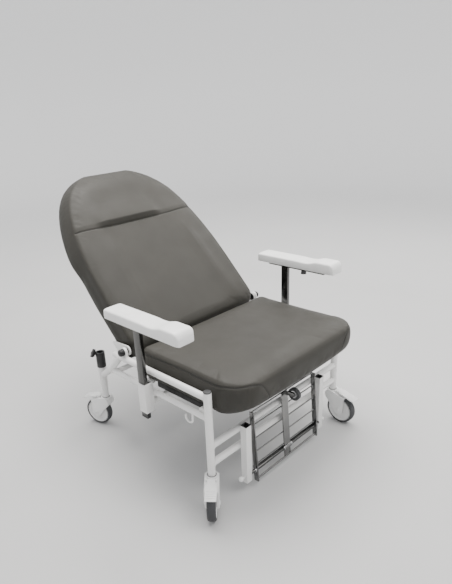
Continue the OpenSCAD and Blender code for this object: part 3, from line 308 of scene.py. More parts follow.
def edge_rounding(obj, width, segments=2, angle=40):
    weld = obj.modifiers.new("weld", "WELD")
    weld.merge_threshold = MERGE_DISTANCE
    bevelled(obj, width, segments, angle)


def smooth_group():
    """Shades a mesh smooth except across edges sharper than SHARP_ANGLE degrees."""
    group = bpy.data.node_groups.new("smooth_shading", "GeometryNodeTree")
    group.interface.new_socket("Geometry", in_out="INPUT", socket_type="NodeSocketGeometry")
    group.interface.new_socket("Geometry", in_out="OUTPUT", socket_type="NodeSocketGeometry")
    start = group.nodes.new("NodeGroupInput")
    end = group.nodes.new("NodeGroupOutput")
    faces = group.nodes.new("GeometryNodeSetShadeSmooth")
    faces.domain = "FACE"
    edges = group.nodes.new("GeometryNodeSetShadeSmooth")
    edges.domain = "EDGE"
    edges.inputs["Shade Smooth"].default_value = False
    angle = group.nodes.new("GeometryNodeInputMeshEdgeAngle")
    sharp = group.nodes.new("FunctionNodeCompare")
    sharp.data_type = "FLOAT"
    sharp.operation = "GREATER_THAN"
    sharp.inputs[1].default_value = math.radians(SHARP_ANGLE)
    link = group.links.new
    link(start.outputs[0], faces.inputs["Geometry"])
    link(faces.outputs[0], edges.inputs["Geometry"])
    link(angle.outputs["Unsigned Angle"], sharp.inputs[0])
    link(sharp.outputs[0], edges.inputs["Selection"])
    link(edges.outputs[0], end.inputs[0])
    return group


SMOOTH = smooth_group()


def smooth_shading(obj):
    obj.modifiers.new("smooth", "NODES").node_group = SMOOTH


# Meshes

def mesh_piece(name, verts, faces, mat, body, slot, smooth=True):
    """A visible piece that rides a body of the frame; its slot argument is not used."""
    mesh = bpy.data.meshes.new(name)
    mesh.from_pydata([tuple(v) for v in verts], [], faces)
    mesh.validate()
    bm = bmesh.new()
    bm.from_mesh(mesh)
    bmesh.ops.recalc_face_normals(bm, faces=bm.faces)
    bm.to_mesh(mesh)
    bm.free()
    for poly in mesh.polygons:
        poly.use_smooth = smooth
    obj = bpy.data.objects.new(name, mesh)
    scene.collection.objects.link(obj)
    mesh.materials.append(mat)
    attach(obj, body)
    return obj


def at(x, y, z):
    """A place given in millimetres, with Y from the front legs."""
    return Vector((x, y, z)) * MM - Vector((0, MIDDLE_Y, 0))


def gather(parts):
    """Several (vertices, faces) pairs as one."""
    verts, faces = [], []
    for part_verts, part_faces in parts:
        start = len(verts)
        verts += part_verts
        faces += [tuple(i + start for i in face) for face in part_faces]
    return verts, faces


def bands(loops, count, closed=False):
    """Faces between loops of count points each, with the ends capped unless closed."""
    faces = []
    for i in range(loops if closed else loops - 1):
        j = (i + 1) % loops
        for k in range(count):
            n = (k + 1) % count
            faces.append((i * count + k, i * count + n, j * count + n, j * count + k))
    if not closed:
        faces += [tuple(range(count)), tuple(range((loops - 1) * count, loops * count))]
    return faces


def square_on(axis):
    """The axis with length 1, and two more that stand square on it."""
    along = Vector(axis).normalized()
    side = along.orthogonal().normalized()
    return along, side, along.cross(side)


def sweep(points, radius, sides=8, cyclic=False):
    """A round bead along points; the radius is a number or a function of the share of the way."""
    pts = [Vector(p) for p in points]
    verts = []
    count = len(pts)
    side = None
    for i, p in enumerate(pts):
        a = pts[(i - 1) % count] if cyclic or i else p
        b = pts[(i + 1) % count] if cyclic or i < count - 1 else p
        along = (b - a).normalized()
        if side is None:
            side = along.orthogonal().normalized()
        side = (side - along * side.dot(along)).normalized()
        up = along.cross(side)
        r = radius(i / (count - 1)) if callable(radius) else radius
        for k in range(sides):
            t = 2 * math.pi * k / sides
            verts.append(p + (side * math.cos(t) + up * math.sin(t)) * r)
    return verts, bands(count, sides, cyclic)


def lathe(profile, centre, axis, sides=24):
    """A turned solid: profile lists (radius, height along the axis) from one end to the other."""
    along, side, up = square_on(axis)
    verts = []
    for r, h in profile:
        for k in range(sides):
            t = 2 * math.pi * k / sides
            out = (side * math.cos(t) + up * math.sin(t)) * r * MM
            verts.append(centre + along * h * MM + out)
    return verts, bands(len(profile), sides)


def ring(centre, axis, radius, bead, steps=40, sides=8):
    """A round bead bent into a ring."""
    _, side, up = square_on(axis)
    turns = [2 * math.pi * k / steps for k in range(steps)]
    points = [centre + (side * math.cos(t) + up * math.sin(t)) * radius * MM for t in turns]
    return sweep(points, bead * MM, sides, cyclic=True)


def slab(low, high):
    """A block between two corners."""
    xs, ys, zs = zip(low, high)
    verts = [Vector((x, y, z)) for x in xs for y in ys for z in zs]
    faces = [(0, 1, 3, 2), (4, 6, 7, 5), (0, 4, 5, 1), (2, 3, 7, 6), (0, 2, 6, 4), (1, 5, 7, 3)]
    return verts, faces


def thread(name, points, radius, body):
    mesh_piece(name, *sweep(points, radius, 6), THREAD, body, "upholstery")


# Cushions: a crowned closed form, swelled by a cloth simulation, then seams and folds

SEAT_HALF, SEAT_FRONT, SEAT_REAR = 357, 126, 379
SEAT_CORNER, SEAT_REAR_CORNER = 105, 30
SEAT_BASE, SEAT_EDGE, SEAT_CROWN = 384.4, 506, 16
SEAT_WAIST, SEAT_TUCK, SEAT_ROUND = 4, 0.66, 90
SEAT_SHOULDER, SEAT_SHOULDER_DROP = 15, 9

# Places up the back are measured from the hinge
BACK_LOW, BACK_HALF, BACK_CORNER, BACK_TOP_CORNER = -34, 358, 75, 90
TAPER_FROM, TAPER_LENGTH = 200, 612
TAPER_IN, TAPER_OUT = 2.2, 2.9
BACK_TOP = TAPER_FROM + TAPER_LENGTH * 0.985
BACK_BASE = -57.6
BACK_EDGE, BACK_EDGE_RISE, BACK_CROWN = 22, 13, 54
BACK_SHOULDER, BACK_SHOULDER_DROP = 12, 5
RIDGE_OUT, RIDGE_LEAN, RIDGE_RUN = 236, 32, 446
RIDGE_HEIGHT, RIDGE_WIDTH, RIDGE_END = 7, 34, 470
CREASE_UP, CREASE_RISE, CREASE_FLAT, CREASE_SPAN = 506.5, 20, 120, 225
# Where the inset fades towards the middle, and the height over which it draws the cushion down
INSET_FADE, INSET_HEIGHT = 150, 130


def fell(e):
    """Rises fast from 0 at e = 0 and flattens to 1 at e = 1."""
    return 1 - (1 - np.clip(e, 0, 1)) ** 2


def smooth_step(e):
    e = min(1, max(0, e))
    return e * e * (3 - 2 * e)


def rounded(half, corner, into):
    """Half a width of half, at a distance of into past the start of a corner's quarter circle."""
    return half - corner + math.sqrt(max(0, corner ** 2 - into ** 2))


def seat_half(y):
    """Half width of the seat at y (millimetres, from the front legs)."""
    front, rear = SEAT_CORNER - SEAT_FRONT, SEAT_REAR - SEAT_REAR_CORNER
    if y < front:
        return rounded(SEAT_HALF, SEAT_CORNER, front - y)
    if y > rear:
        return rounded(SEAT_HALF, SEAT_REAR_CORNER, y - rear)
    return SEAT_HALF - SEAT_WAIST * math.sin(math.pi * (y - front) / (rear - front))


def seat_top(y, t):
    """Height of the seat's top at y, at the share t of its half width."""
    to_end = min(y + SEAT_FRONT, SEAT_REAR - y)
    inward = min(seat_half(y) * (1 - abs(t)), to_end)
    crown = SEAT_CROWN * fell(to_end / SEAT_ROUND) * (1 - abs(t) ** 3)
    return SEAT_EDGE + crown - SEAT_SHOULDER_DROP * (1 - fell(inward / SEAT_SHOULDER))


def back_half(s):
    """Half width of the back at s (millimetres up from the hinge)."""
    if s < BACK_LOW + BACK_CORNER:
        return rounded(BACK_HALF, BACK_CORNER, BACK_CORNER - (s - BACK_LOW))
    if s < TAPER_FROM:
        return BACK_HALF
    share = (s - TAPER_FROM) / TAPER_LENGTH
    return BACK_HALF * max(0, 1 - share ** TAPER_IN) ** (1 / TAPER_OUT)


def crease(x):
    """Place of the head seam up the back at x, which is a number or an array."""
    past_flat = np.maximum(0, np.abs(x) - CREASE_FLAT)
    return CREASE_UP + CREASE_RISE * (past_flat / CREASE_SPAN) ** 1.5


def back_crown(s, t):
    """Height of the back's front face at s, at the share t of its half width."""
    x = t * back_half(s)
    rise = fell((s - BACK_LOW) / 40)
    edge = BACK_EDGE + BACK_EDGE_RISE * rise * (1 - smooth_step((s - 640) / 150))
    h = edge + (BACK_CROWN - edge) * rise * fell((BACK_TOP - s) / 130) * (1 - abs(t) ** 4)
    # Soft ridges beside the middle of the back
    off_ridge = abs(x) - (RIDGE_OUT - RIDGE_LEAN * s / RIDGE_RUN)
    ridge = math.exp(-(off_ridge / RIDGE_WIDTH) ** 2)
    h += RIDGE_HEIGHT * ridge * fell(s / 90) * fell((RIDGE_END - s) / 120)
    inward = min(back_half(s) * (1 - abs(t)), s - BACK_LOW, BACK_TOP - s)
    return h - BACK_SHOULDER_DROP * (1 - fell(inward / BACK_SHOULDER))


def cushion_shape(ends, corners, half, top, base, cells, boxing, inset, tuck=1):
    """Vertices and faces of a closed cushion in (across, along, height), drawn in by inset.

    cells says how many cells the grid has across and between its corners. Each step of the boxing
    is (share of the height, distance out as a number or a function of the place, share of the
    tuck).
    """
    low, high = ends
    across, between = cells
    turns = [math.radians(q) for q in range(0, 91, 10)]
    lower = [low + corners[0] * (1 - math.cos(q)) for q in turns]
    upper = [high - corners[1] * (1 - math.sin(q)) for q in turns]
    straight = upper[0] - lower[-1]
    vs = lower + [lower[-1] + straight * k / between for k in range(1, between)] + upper
    ts = [-math.cos(math.pi * i / across) for i in range(across + 1)]
    grid = [(half(v) * t, v, top(v, t)) for v in vs for t in ts]
    m, n = len(vs) - 1, across
    rim = list(range(n + 1))
    rim += [j * (n + 1) + n for j in range(1, m + 1)]
    rim += [m * (n + 1) + i for i in range(n - 1, -1, -1)]
    rim += [j * (n + 1) for j in range(m - 1, 0, -1)]
    firsts = [j * (n + 1) + i for j in range(m) for i in range(n)]
    faces = [(a, a + 1, a + n + 2, a + n + 1) for a in firsts]
    verts = [list(p) for p in grid]
    centre = (low + high) / 2
    loops = [rim]
    for share, out, drawn in boxing:
        start = len(verts)
        for k in rim:
            x, y, z = grid[k]
            d = math.hypot(x, y - centre)
            o = out(x, y) if callable(out) else out
            moved = y + (y - centre) / d * o
            moved *= 1 - (1 - tuck) * drawn if moved < 0 else 1
            verts.append([x + x / d * o, moved, base + (z - base) * share])
        loops.append(list(range(start, start + len(rim))))
    for a, b in zip(loops, loops[1:]):
        for q in range(len(rim)):
            r = (q + 1) % len(rim)
            faces.append((a[q], b[q], b[r], a[r]))
    faces.append(tuple(loops[-1]))
    for p in verts:
        d = math.hypot(p[0], p[1] - centre)
        if d > 1:
            shrink = max(0, 1 - inset / d * min(1, d / INSET_FADE))
            p[0] *= shrink
            p[1] = centre + (p[1] - centre) * shrink
        p[2] = base + (p[2] - base) * (1 - inset / INSET_HEIGHT)
    return verts, faces


def back_place(p):
    """(across, along the back, out of its front face) to the row frame."""
    x, s, h = p[0] * MM, p[1] * MM, p[2] * MM
    return Vector((x, HINGE_Y - h * math.cos(TILT) + s * math.sin(TILT),
        HINGE_Z + h * math.sin(TILT) + s * math.cos(TILT)))


def apply_modifiers(obj):
    graph = bpy.context.evaluated_depsgraph_get()
    mesh = bpy.data.meshes.new_from_object(obj.evaluated_get(graph))
    old = obj.data
    obj.modifiers.clear()
    obj.data = mesh
    bpy.data.meshes.remove(old)


def of_vertices(mesh, what="co"):
    values = np.empty(len(mesh.vertices) * 3, np.float32)
    mesh.vertices.foreach_get(what, values)
    return values.reshape(-1, 3).astype(float)


def put_coordinates(mesh, co):
    mesh.vertices.foreach_set("co", co.astype(np.float32).ravel())
    mesh.update()


CLOTH_FRAMES = 20
CLOTH_PRESSURE = 3.0
NO_MOVE = 1e-9


def swell(obj, voxel, cap, hold):
    """Remeshes obj and lets cloth under pressure round it by up to cap; hold keeps points."""
    remesh = obj.modifiers.new("remesh", "REMESH")
    remesh.mode = "VOXEL"
    remesh.voxel_size = voxel
    apply_modifiers(obj)
    start = of_vertices(obj.data)
    kept = [i for i, p in enumerate(start) if hold(p)]
    group = obj.vertex_groups.new(name="held")
    group.add(kept, 1.0, "REPLACE")
    cloth = obj.modifiers.new("cloth", "CLOTH")
    settings = cloth.settings
    settings.quality = 4
    settings.mass = 0.3
    settings.tension_stiffness = 12
    settings.compression_stiffness = 12
    settings.shear_stiffness = 6
    settings.bending_stiffness = 0.6
    settings.use_pressure = True
    settings.uniform_pressure_force = CLOTH_PRESSURE
    settings.effector_weights.gravity = 0
    settings.vertex_group_mass = "held"
    cloth.collision_settings.use_collision = False
    cloth.point_cache.frame_start = 1
    cloth.point_cache.frame_end = CLOTH_FRAMES
    for f in range(1, CLOTH_FRAMES + 1):
        scene.frame_set(f)
    graph = bpy.context.evaluated_depsgraph_get()
    end = of_vertices(obj.evaluated_get(graph).data)
    obj.modifiers.clear()
    scene.frame_set(1)
    move = end - start
    size = np.linalg.norm(move, axis=1)
    capped = cap * np.tanh(size / cap) / np.maximum(size, NO_MOVE)
    share = np.where(size > NO_MOVE, capped, 0)
    put_coordinates(obj.data, start + move * share[:, None])
    obj.vertex_groups.clear()
    sub = obj.modifiers.new("subdivide", "SUBSURF")
    sub.levels = 1
    sub.render_levels = 1
    apply_modifiers(obj)


CARVE_REACH = 3.5


def carve(obj, line, depth, width):
    """Draws the surface in along a line; depth is a function of the share of the way."""
    tree = KDTree(len(line))
    for i, p in enumerate(line):
        tree.insert(p, i)
    tree.balance()
    co, nor = of_vertices(obj.data), of_vertices(obj.data, "normal")
    reach = CARVE_REACH * width
    points = np.array([tuple(p) for p in line])
    lo, hi = points.min(axis=0) - reach, points.max(axis=0) + reach
    near = np.where(np.all((co > lo) & (co < hi), axis=1))[0]
    for i in near:
        _, index, dist = tree.find(co[i])
        if dist < reach:
            share = index / (len(line) - 1)
            co[i] -= nor[i] * depth(share) * math.exp(-(dist / width) ** 2)
    put_coordinates(obj.data, co)


def sit_on(obj, points, lift=0.0):
    """The points moved onto obj's surface."""
    mesh = obj.data
    polygons = [tuple(p.vertices) for p in mesh.polygons]
    tree = BVHTree.FromPolygons([v.co for v in mesh.vertices], polygons)
    out = []
    for p in points:
        where, normal, _, _ = tree.find_nearest(p)
        out.append(where + normal * lift)
    return out


def dense(points, step=0.003):
    """More points along the same line."""
    out = []
    for a, b in zip(points, points[1:]):
        n = max(1, int((b - a).length / step))
        out += [a.lerp(b, k / n) for k in range(n)]
    return out + [points[-1]]


def smooth_line(points, rounds):
    """The line with its corners cut, over and over."""
    for _ in range(rounds):
        out = [points[0]]
        for a, b in zip(points, points[1:]):
            out += [a.lerp(b, 0.25), a.lerp(b, 0.75)]
        points = out + [points[-1]]
    return points


# The upper seam of the seat's side band as (out from the middle, Y, height): it dips before the
# corner and turns down where the top panel rolls over the front
SEAM_ROUTE = [(359, 362, 486), (360, 204, 491), (360, 103, 491), (359, 42, 489), (357, -6, 488),
    (350, -56, 494), (333, -92, 499), (300, -116, 501), (268, -125, 496), (252, -127, 485),
    (238, -127, 466), (222, -126, 440), (212, -112, 414), (204, -96, 396)]
SEAM_DEPTH, SEAT_SEAM_WIDTH, HEAD_SEAM_WIDTH = 0.0024, 0.0035, 0.0036
THREAD_LIFT = 0.0001


def taken_out(obj, low, high):
    """Cuts a block out of a mesh, between two corners in the row frame."""
    mesh = bpy.data.meshes.new("cutter")
    verts, faces = slab(low, high)
    mesh.from_pydata(verts, [], faces)
    cutter = bpy.data.objects.new("cutter", mesh)
    scene.collection.objects.link(cutter)
    cut = obj.modifiers.new("cut", "BOOLEAN")
    cut.operation = "DIFFERENCE"
    cut.solver = "EXACT"
    cut.object = cutter
    apply_modifiers(obj)
    bpy.data.objects.remove(cutter)
    bpy.data.meshes.remove(mesh)


def seat_cushion():
    def side(out):
        """Distance out of the sides, less towards the rear."""
        return lambda x, y: out * (1 - 0.8 * smooth_step((y - 300) / 60))
    boxing = [(0.94, side(3.0), 0), (0.84, side(5.0), 0), (0.66, side(6.0), 0.02),
        (0.5, side(5.5), 0.06), (0.35, side(4.5), 0.16), (0.22, side(2.5), 0.34),
        (0.12, 0.0, 0.55), (0.05, -4.0, 0.78), (0.0, -9.0, 1)]
    verts, faces = cushion_shape((-SEAT_FRONT, SEAT_REAR), (SEAT_CORNER, SEAT_REAR_CORNER),
        seat_half, seat_top, SEAT_BASE, (36, 22), boxing, 1.5, SEAT_TUCK)
    obj = mesh_piece("seat_cushion_cover", [at(*p) for p in verts], faces, VINYL, "frame",
        "upholstery")
    # Room for the gas spring, which lies in the slot of the seat board
    taken_out(obj, at(-20, 150, 380), at(20, 400, 397))
    slot_half, slot = 0.032, at(0, 140, 402)
    held_below = (SEAT_BASE + 0.6) * MM
    swell(obj, voxel=0.006, cap=0.0035, hold=lambda p: p[2] < held_below
        or abs(p[0]) < slot_half and p[1] > slot.y and p[2] < slot.z)
    for side_x, name in SIDES:
        line = smooth_line([at(side_x * x, y, z) for x, y, z in SEAM_ROUTE], 3)
        line = sit_on(obj, dense(line))
        carve(obj, line, lambda t: SEAM_DEPTH * min(1, (1 - t) * 6), SEAT_SEAM_WIDTH)
        seam = sit_on(obj, line[::2], THREAD_LIFT)
        thread(f"seat_seam_{name}", seam, 0.0008, "frame")
    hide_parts("seat_cushion")


FOLD_FROM, FOLD_TO = -198, 97
FOLD_DEPTH = 0.003
ROLL_LOW, ROLL_DEEP = 3, 12
ROLL_UP, ROLL_FADE = 24, 75


def fold_share(x):
    """1 in the deep middle of the head seam, falling to 0 beyond its ends."""
    middle, half = (FOLD_FROM + FOLD_TO) / 2, (FOLD_TO - FOLD_FROM) / 2
    return np.exp(-((x - middle) / (half * 1.06)) ** 8)


def head_roll(obj):
    """Raises the head panel over the crease: steeply above the deep fold, hardly beyond it."""
    co = of_vertices(obj.data)
    along = np.array((0, math.sin(TILT), math.cos(TILT)))
    out = np.array((0, -math.cos(TILT), math.sin(TILT)))
    rel = co - np.array((0, HINGE_Y, HINGE_Z))
    x, s, h = co[:, 0] / MM, rel @ along / MM, rel @ out / MM
    above = s - crease(x)
    rise = np.clip(above / ROLL_UP, 0, 1)
    rise = rise * rise * (3 - 2 * rise)
    fade = np.exp(-(np.maximum(0, above - ROLL_UP) / ROLL_FADE) ** 2)
    amount = (ROLL_LOW + ROLL_DEEP * fold_share(x) * fade) * rise
    amount = amount * np.clip((BACK_TOP - s) / 200, 0, 1) * np.clip((h - 5) / 20, 0, 1)
    put_coordinates(obj.data, co + out[None, :] * (amount * MM)[:, None])


def back_cushion():
    head_swell, seam_reach, seam_steps = 21, 322, 130

    def side(out, share):
        """Distance out of the sides: less at the foot, and more by a share of the head's swell."""
        def at_place(x, s):
            head = head_swell * share * smooth_step((s - 320) / 140)
            return out * (0.4 + 0.6 * smooth_step((s - 72) / 100)) + head
        return at_place
    boxing = [(0.93, side(1.5, 0.06), 0), (0.8, side(2.5, 0.25), 0), (0.6, side(3.0, 0.55), 0),
        (0.38, side(3.0, 0.82), 0), (0.2, side(2.5, 0.96), 0), (0.08, side(1.0, 1.0), 0),
        (0.0, side(-3.0, 0.9), 0)]
    verts, faces = cushion_shape((BACK_LOW, BACK_TOP), (BACK_CORNER, BACK_TOP_CORNER),
        back_half, back_crown, BACK_BASE, (40, 34), boxing, 1)
    obj = mesh_piece("back_cushion_cover", [back_place(p) for p in verts], faces, VINYL, "back",
        "upholstery")
    rear = back_place((0, 0, BACK_BASE))
    out = Vector((0, -math.cos(TILT), math.sin(TILT)))
    swell(obj, voxel=0.0065, cap=0.003, hold=lambda p: (Vector(p) - rear).dot(out) < MM)
    head_roll(obj)
    steps = range(seam_steps + 1)
    xs = [-seam_reach + 2 * seam_reach * k / seam_steps for k in steps]
    seam = [back_place((x, crease(x), back_crown(crease(x), x / 345))) for x in xs]
    line = sit_on(obj, dense(smooth_line(seam, 2)))

    def depth(t):
        return SEAM_DEPTH + FOLD_DEPTH * fold_share(-seam_reach + 2 * seam_reach * t)
    carve(obj, line, depth, HEAD_SEAM_WIDTH)
    thread("head_seam", sit_on(obj, line[::2], THREAD_LIFT), 0.0009, "back")
    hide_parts("back_cushion")


# Arm pads: a moulded skin with a palm rise at the front

PAD_LENGTH, PAD_HALF = 388, 40
PAD_X, PAD_FRONT, PAD_BOTTOM = 428, 32, 651
PAD_TOP, PALM_RISE, PALM_END, PALM_SLOPE = 37, 10, 122, 50
DIP_DEPTH, DIP_MIDDLE, DIP_WIDTH = 2, 142, 26


def hump(y):
    """Height of the pad's top at y behind its front end."""
    palm = PALM_RISE * smooth_step((PALM_END - y) / PALM_SLOPE)
    return PAD_TOP + palm - DIP_DEPTH * math.exp(-((y - DIP_MIDDLE) / DIP_WIDTH) ** 2)


def round_share(distance, radius):
    """0 at the end of a pad, rising as a quarter circle to 1 at the radius."""
    e = min(1, max(0, distance / radius))
    return math.sqrt(max(0, 1 - (1 - e) ** 2))


def arm_pad(side, name):
    rows, around = 56, 40
    verts = []
    for j in range(rows + 1):
        y = PAD_LENGTH * (j / rows)
        front, rear = round_share(y, 22), round_share(PAD_LENGTH - y, 9)
        w = PAD_HALF - 7 * (1 - front) - 4 * (1 - rear)
        top = hump(y) - 22 * (1 - front) - 5 * (1 - rear)
        for i in range(around):
            a = 2 * math.pi * i / around
            c, s = math.cos(a), math.sin(a)
            x = w * math.copysign(abs(c) ** 0.28, c)
            if s >= 0:
                z = top / 2 + top / 2 * abs(s) ** 0.3
            else:
                z = top / 2 - top / 2 * abs(s) ** 0.16
            if s > 0:
                z += 1 - (x / PAD_HALF) ** 2
            verts.append(at(side * PAD_X + x, PAD_FRONT + y, PAD_BOTTOM + z))
    obj = mesh_piece(f"arm_pad_{name}_skin", verts, bands(rows + 1, around), PAD, f"arm_{name}",
        "arm_pad")
    bevelled(obj, 0.002, 3, 50)
    smooth_shading(obj)
    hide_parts(f"arm_pad_{name}")


# Welds, screws, liners, hems and other small parts

WELD = 2.1


def uneven(t):
    """A weld bead's radius in metres, a little uneven along its way."""
    return WELD * MM * (1 + 0.12 * math.sin(57 * t) + 0.08 * math.sin(131 * t + 1))


def saddle(start, along, r, centre, axis, radius, steps=72):
    """A bead round a tube of radius r where it runs into a round post."""
    e1 = along.orthogonal().normalized()
    e2 = along.cross(e1)
    flat = along - axis * along.dot(axis)
    points = []
    for k in range(steps):
        turn = 2 * math.pi * k / steps
        q = start + (e1 * math.cos(turn) + e2 * math.sin(turn)) * r * MM
        w = q - centre
        w -= axis * w.dot(axis)
        a, b = flat.dot(flat), 2 * w.dot(flat)
        c = w.dot(w) - (radius * MM) ** 2
        points.append(q + along * (-b - math.sqrt(max(0, b * b - 4 * a * c))) / (2 * a))
    return sweep(points, uneven, cyclic=True)


def run_of_weld(a, b):
    return sweep([a.lerp(b, k / 16) for k in range(17)], uneven)


def frame_welds():
    clear, half_run, lug_half, arm_inset, hook_y = 60, 13, 16, 2, 78
    ring_r = LOWER_R + 0.4
    parts = []
    for side, _ in SIDES:
        leg = at(side * LEG_X, 0, 0)
        inner = side * (LEG_X - clear)
        for z, r in ((UPPER_Z, UPPER_R), (LOWER_Z, LOWER_R)):
            parts.append(saddle(at(side * LEG_X, clear, z), -Y_AXIS, r, leg, Z_AXIS, LEG_R))
        y = SOCKET_Y + SOCKET_HALF + 0.9
        for z in CROSS_ZS:
            parts.append(saddle(at(inner, 0, z), side * X_AXIS, UPPER_R, leg, Z_AXIS, LEG_R))
            for dz in (-7.5, 7.5):
                parts.append(run_of_weld(at(side * (SOCKET_X - half_run), y, z + dz),
                    at(side * (SOCKET_X + half_run), y, z + dz)))
        bend = at(side * LEG_X, BEND_Y, LOWER_Z)
        end = at(side * UPRIGHT_X, UPRIGHT_Y, SLEEVE_MIDDLE)
        parts.append(saddle(bend, (end - bend).normalized(), LEG_R, end, Z_AXIS, SLEEVE_R))
        parts.append(saddle(at(inner, REAR_CROSS_Y, LOWER_Z), side * X_AXIS, LOWER_R,
            at(side * LEG_X, 0, LOWER_Z), Y_AXIS, LOWER_R))
        middle = at(side * (ARM_INNER - 1), MID_CROSS_Y, MID_CROSS_Z)
        parts.append(ring(middle, X_AXIS, ring_r, WELD))
        parts.append(ring(at(side * LEG_X, BEND_Y - LEG_R, LOWER_Z), Y_AXIS, ring_r, WELD))
        x = side * (ARM_INNER - arm_inset)
        for z in (LOWER_Z - 7, LOWER_Z + 7):
            parts.append(run_of_weld(at(x, ARM_FRONT + 1, z), at(x, ARM_REAR - 1, z)))
        z = UPPER_Z + 11.5
        for x in (side * LEG_X - 6, side * LEG_X + 6):
            parts.append(run_of_weld(at(x, HINGE_BEHIND_LEGS - lug_half, z),
                at(x, HINGE_BEHIND_LEGS + lug_half, z)))
        parts.append(ring(at(side * LEG_X, hook_y, LOWER_Z - LOWER_R), Z_AXIS, 4, 1.5))
    mesh_piece("frame_welds", *gather(parts), WHITE, "frame", "white_frame")


def pan_head(centre, axis, r, h):
    profile = [(r, 0), (r, 0.5 * h), (0.86 * r, h), (0.45 * r, h), (0.4 * r, 0.3 * h)]
    return lathe(profile, centre, axis)


def hex_head(centre, axis, r, h):
    thick = 1.2
    washer = lathe([(1.35 * r, 0), (1.35 * r, thick)], centre, axis)
    return gather([washer, lathe([(r, thick), (r, 0.9 * h), (0.88 * r, h)], centre, axis, 6)])


def screws():
    bracket_x, bracket_ys, bracket_z, plate_z = 349, (36, 335), 379, 645
    seat_bolts = []
    for side, name in SIDES:
        seat_bolts += [hex_head(at(side * bracket_x, y + dy, bracket_z), -Z_AXIS, 5.5, 5)
            for y in bracket_ys for dy in (-11, 11)]
        pads = [pan_head(at(side * PAD_X + dx, y, plate_z), -Z_AXIS, 5, 2.6)
            for y in (90, 348) for dx in (-18, 18)]
        mesh_piece(f"pad_screws_{name}", *gather(pads), BRIGHT, f"arm_{name}", "bright_steel")
    mesh_piece("seat_bolts", *gather(seat_bolts), BRIGHT, "frame", "bright_steel")
    out = back_place((0, 0, -1)) - back_place((0, 0, 0))
    heads = [hex_head(back_place((side * 180, up, -78)), out, 6, 5)
        for side, _ in SIDES for up in (110, 300, 480)]
    mesh_piece("back_bolts", *gather(heads), BRIGHT, "back", "bright_steel")


def liners():
    """Dark linings in the mouths of the leg rest sockets, and end caps under the arm posts."""
    outer, wall, low = 10.95, 0.5, 205
    inner, rim = outer - wall, SOCKET_HALF + 0.3
    # Blocks as (low x, low y, high x, high y): the lining's walls, and its flange on the tube
    walls = ((inner, -outer, outer, outer), (-outer, -outer, -inner, outer),
        (-outer, inner, outer, outer), (-outer, -outer, outer, -inner))
    flange = ((-rim, -rim, rim, -inner), (-rim, inner, rim, rim),
        (-rim, -inner, -inner, inner), (inner, -inner, rim, inner))
    blocks = [(block, low, SOCKET_TOP - 0.6) for block in walls]
    blocks += [(block, SOCKET_TOP, SOCKET_TOP + 1.6) for block in flange]
    for side, name in SIDES:
        x, y = side * SOCKET_X, SOCKET_Y
        parts = [slab(at(x + a, y + b, bottom), at(x + c, y + d, top))
            for (a, b, c, d), bottom, top in blocks]
        mesh_piece(f"socket_liner_{name}", *gather(parts), BLACK, "frame", "black_plastic")
        left, right = sorted((side * 413.6, side * 429.8))
        cap = mesh_piece(f"post_cap_{name}", *slab(at(left, 271.2, 275.4), at(right, 304.8, 286)),
            BLACK, f"arm_{name}", "black_plastic", smooth=False)
        edge_rounding(cap, 0.0008)


def hinge_caps():
    """Domed caps on the outer ends of the hinge pins, and the pins' heads inside the back."""
    dome = [(11, 0), (13.4, 0.8), (14, 3.5), (13.2, 6.8), (10.8, 9.6), (7, 11.4), (2.5, 12.2)]
    head = [(16, 0), (16, 1.4), (14.5, 2.8), (9, 3.7), (3, 4)]
    for side, name in SIDES:
        for piece, profile, x, out, body in (
                ("hinge_cap", dome, 396, side, "frame"),
                ("hinge_pin_head", head, 363.5, -side, "back")):
            centre = at(side * x, HINGE_BEHIND_LEGS, HINGE_Z / MM)
            mesh_piece(f"{piece}_{name}", *lathe(profile, centre, out * X_AXIS, 32), BLACK, body,
                "black_plastic")


def seat_skirts():
    """Black strips that hang along the sides of the seat board, behind the lower rails."""
    for side, name in SIDES:
        low, high = sorted((side * 331, side * 341))
        strip = mesh_piece(f"seat_skirt_{name}", *slab(at(low, 60, 359), at(high, 309, 384)),
            BOARD, "frame", "board", smooth=False)
        edge_rounding(strip, 0.003, 3)
        smooth_shading(strip)


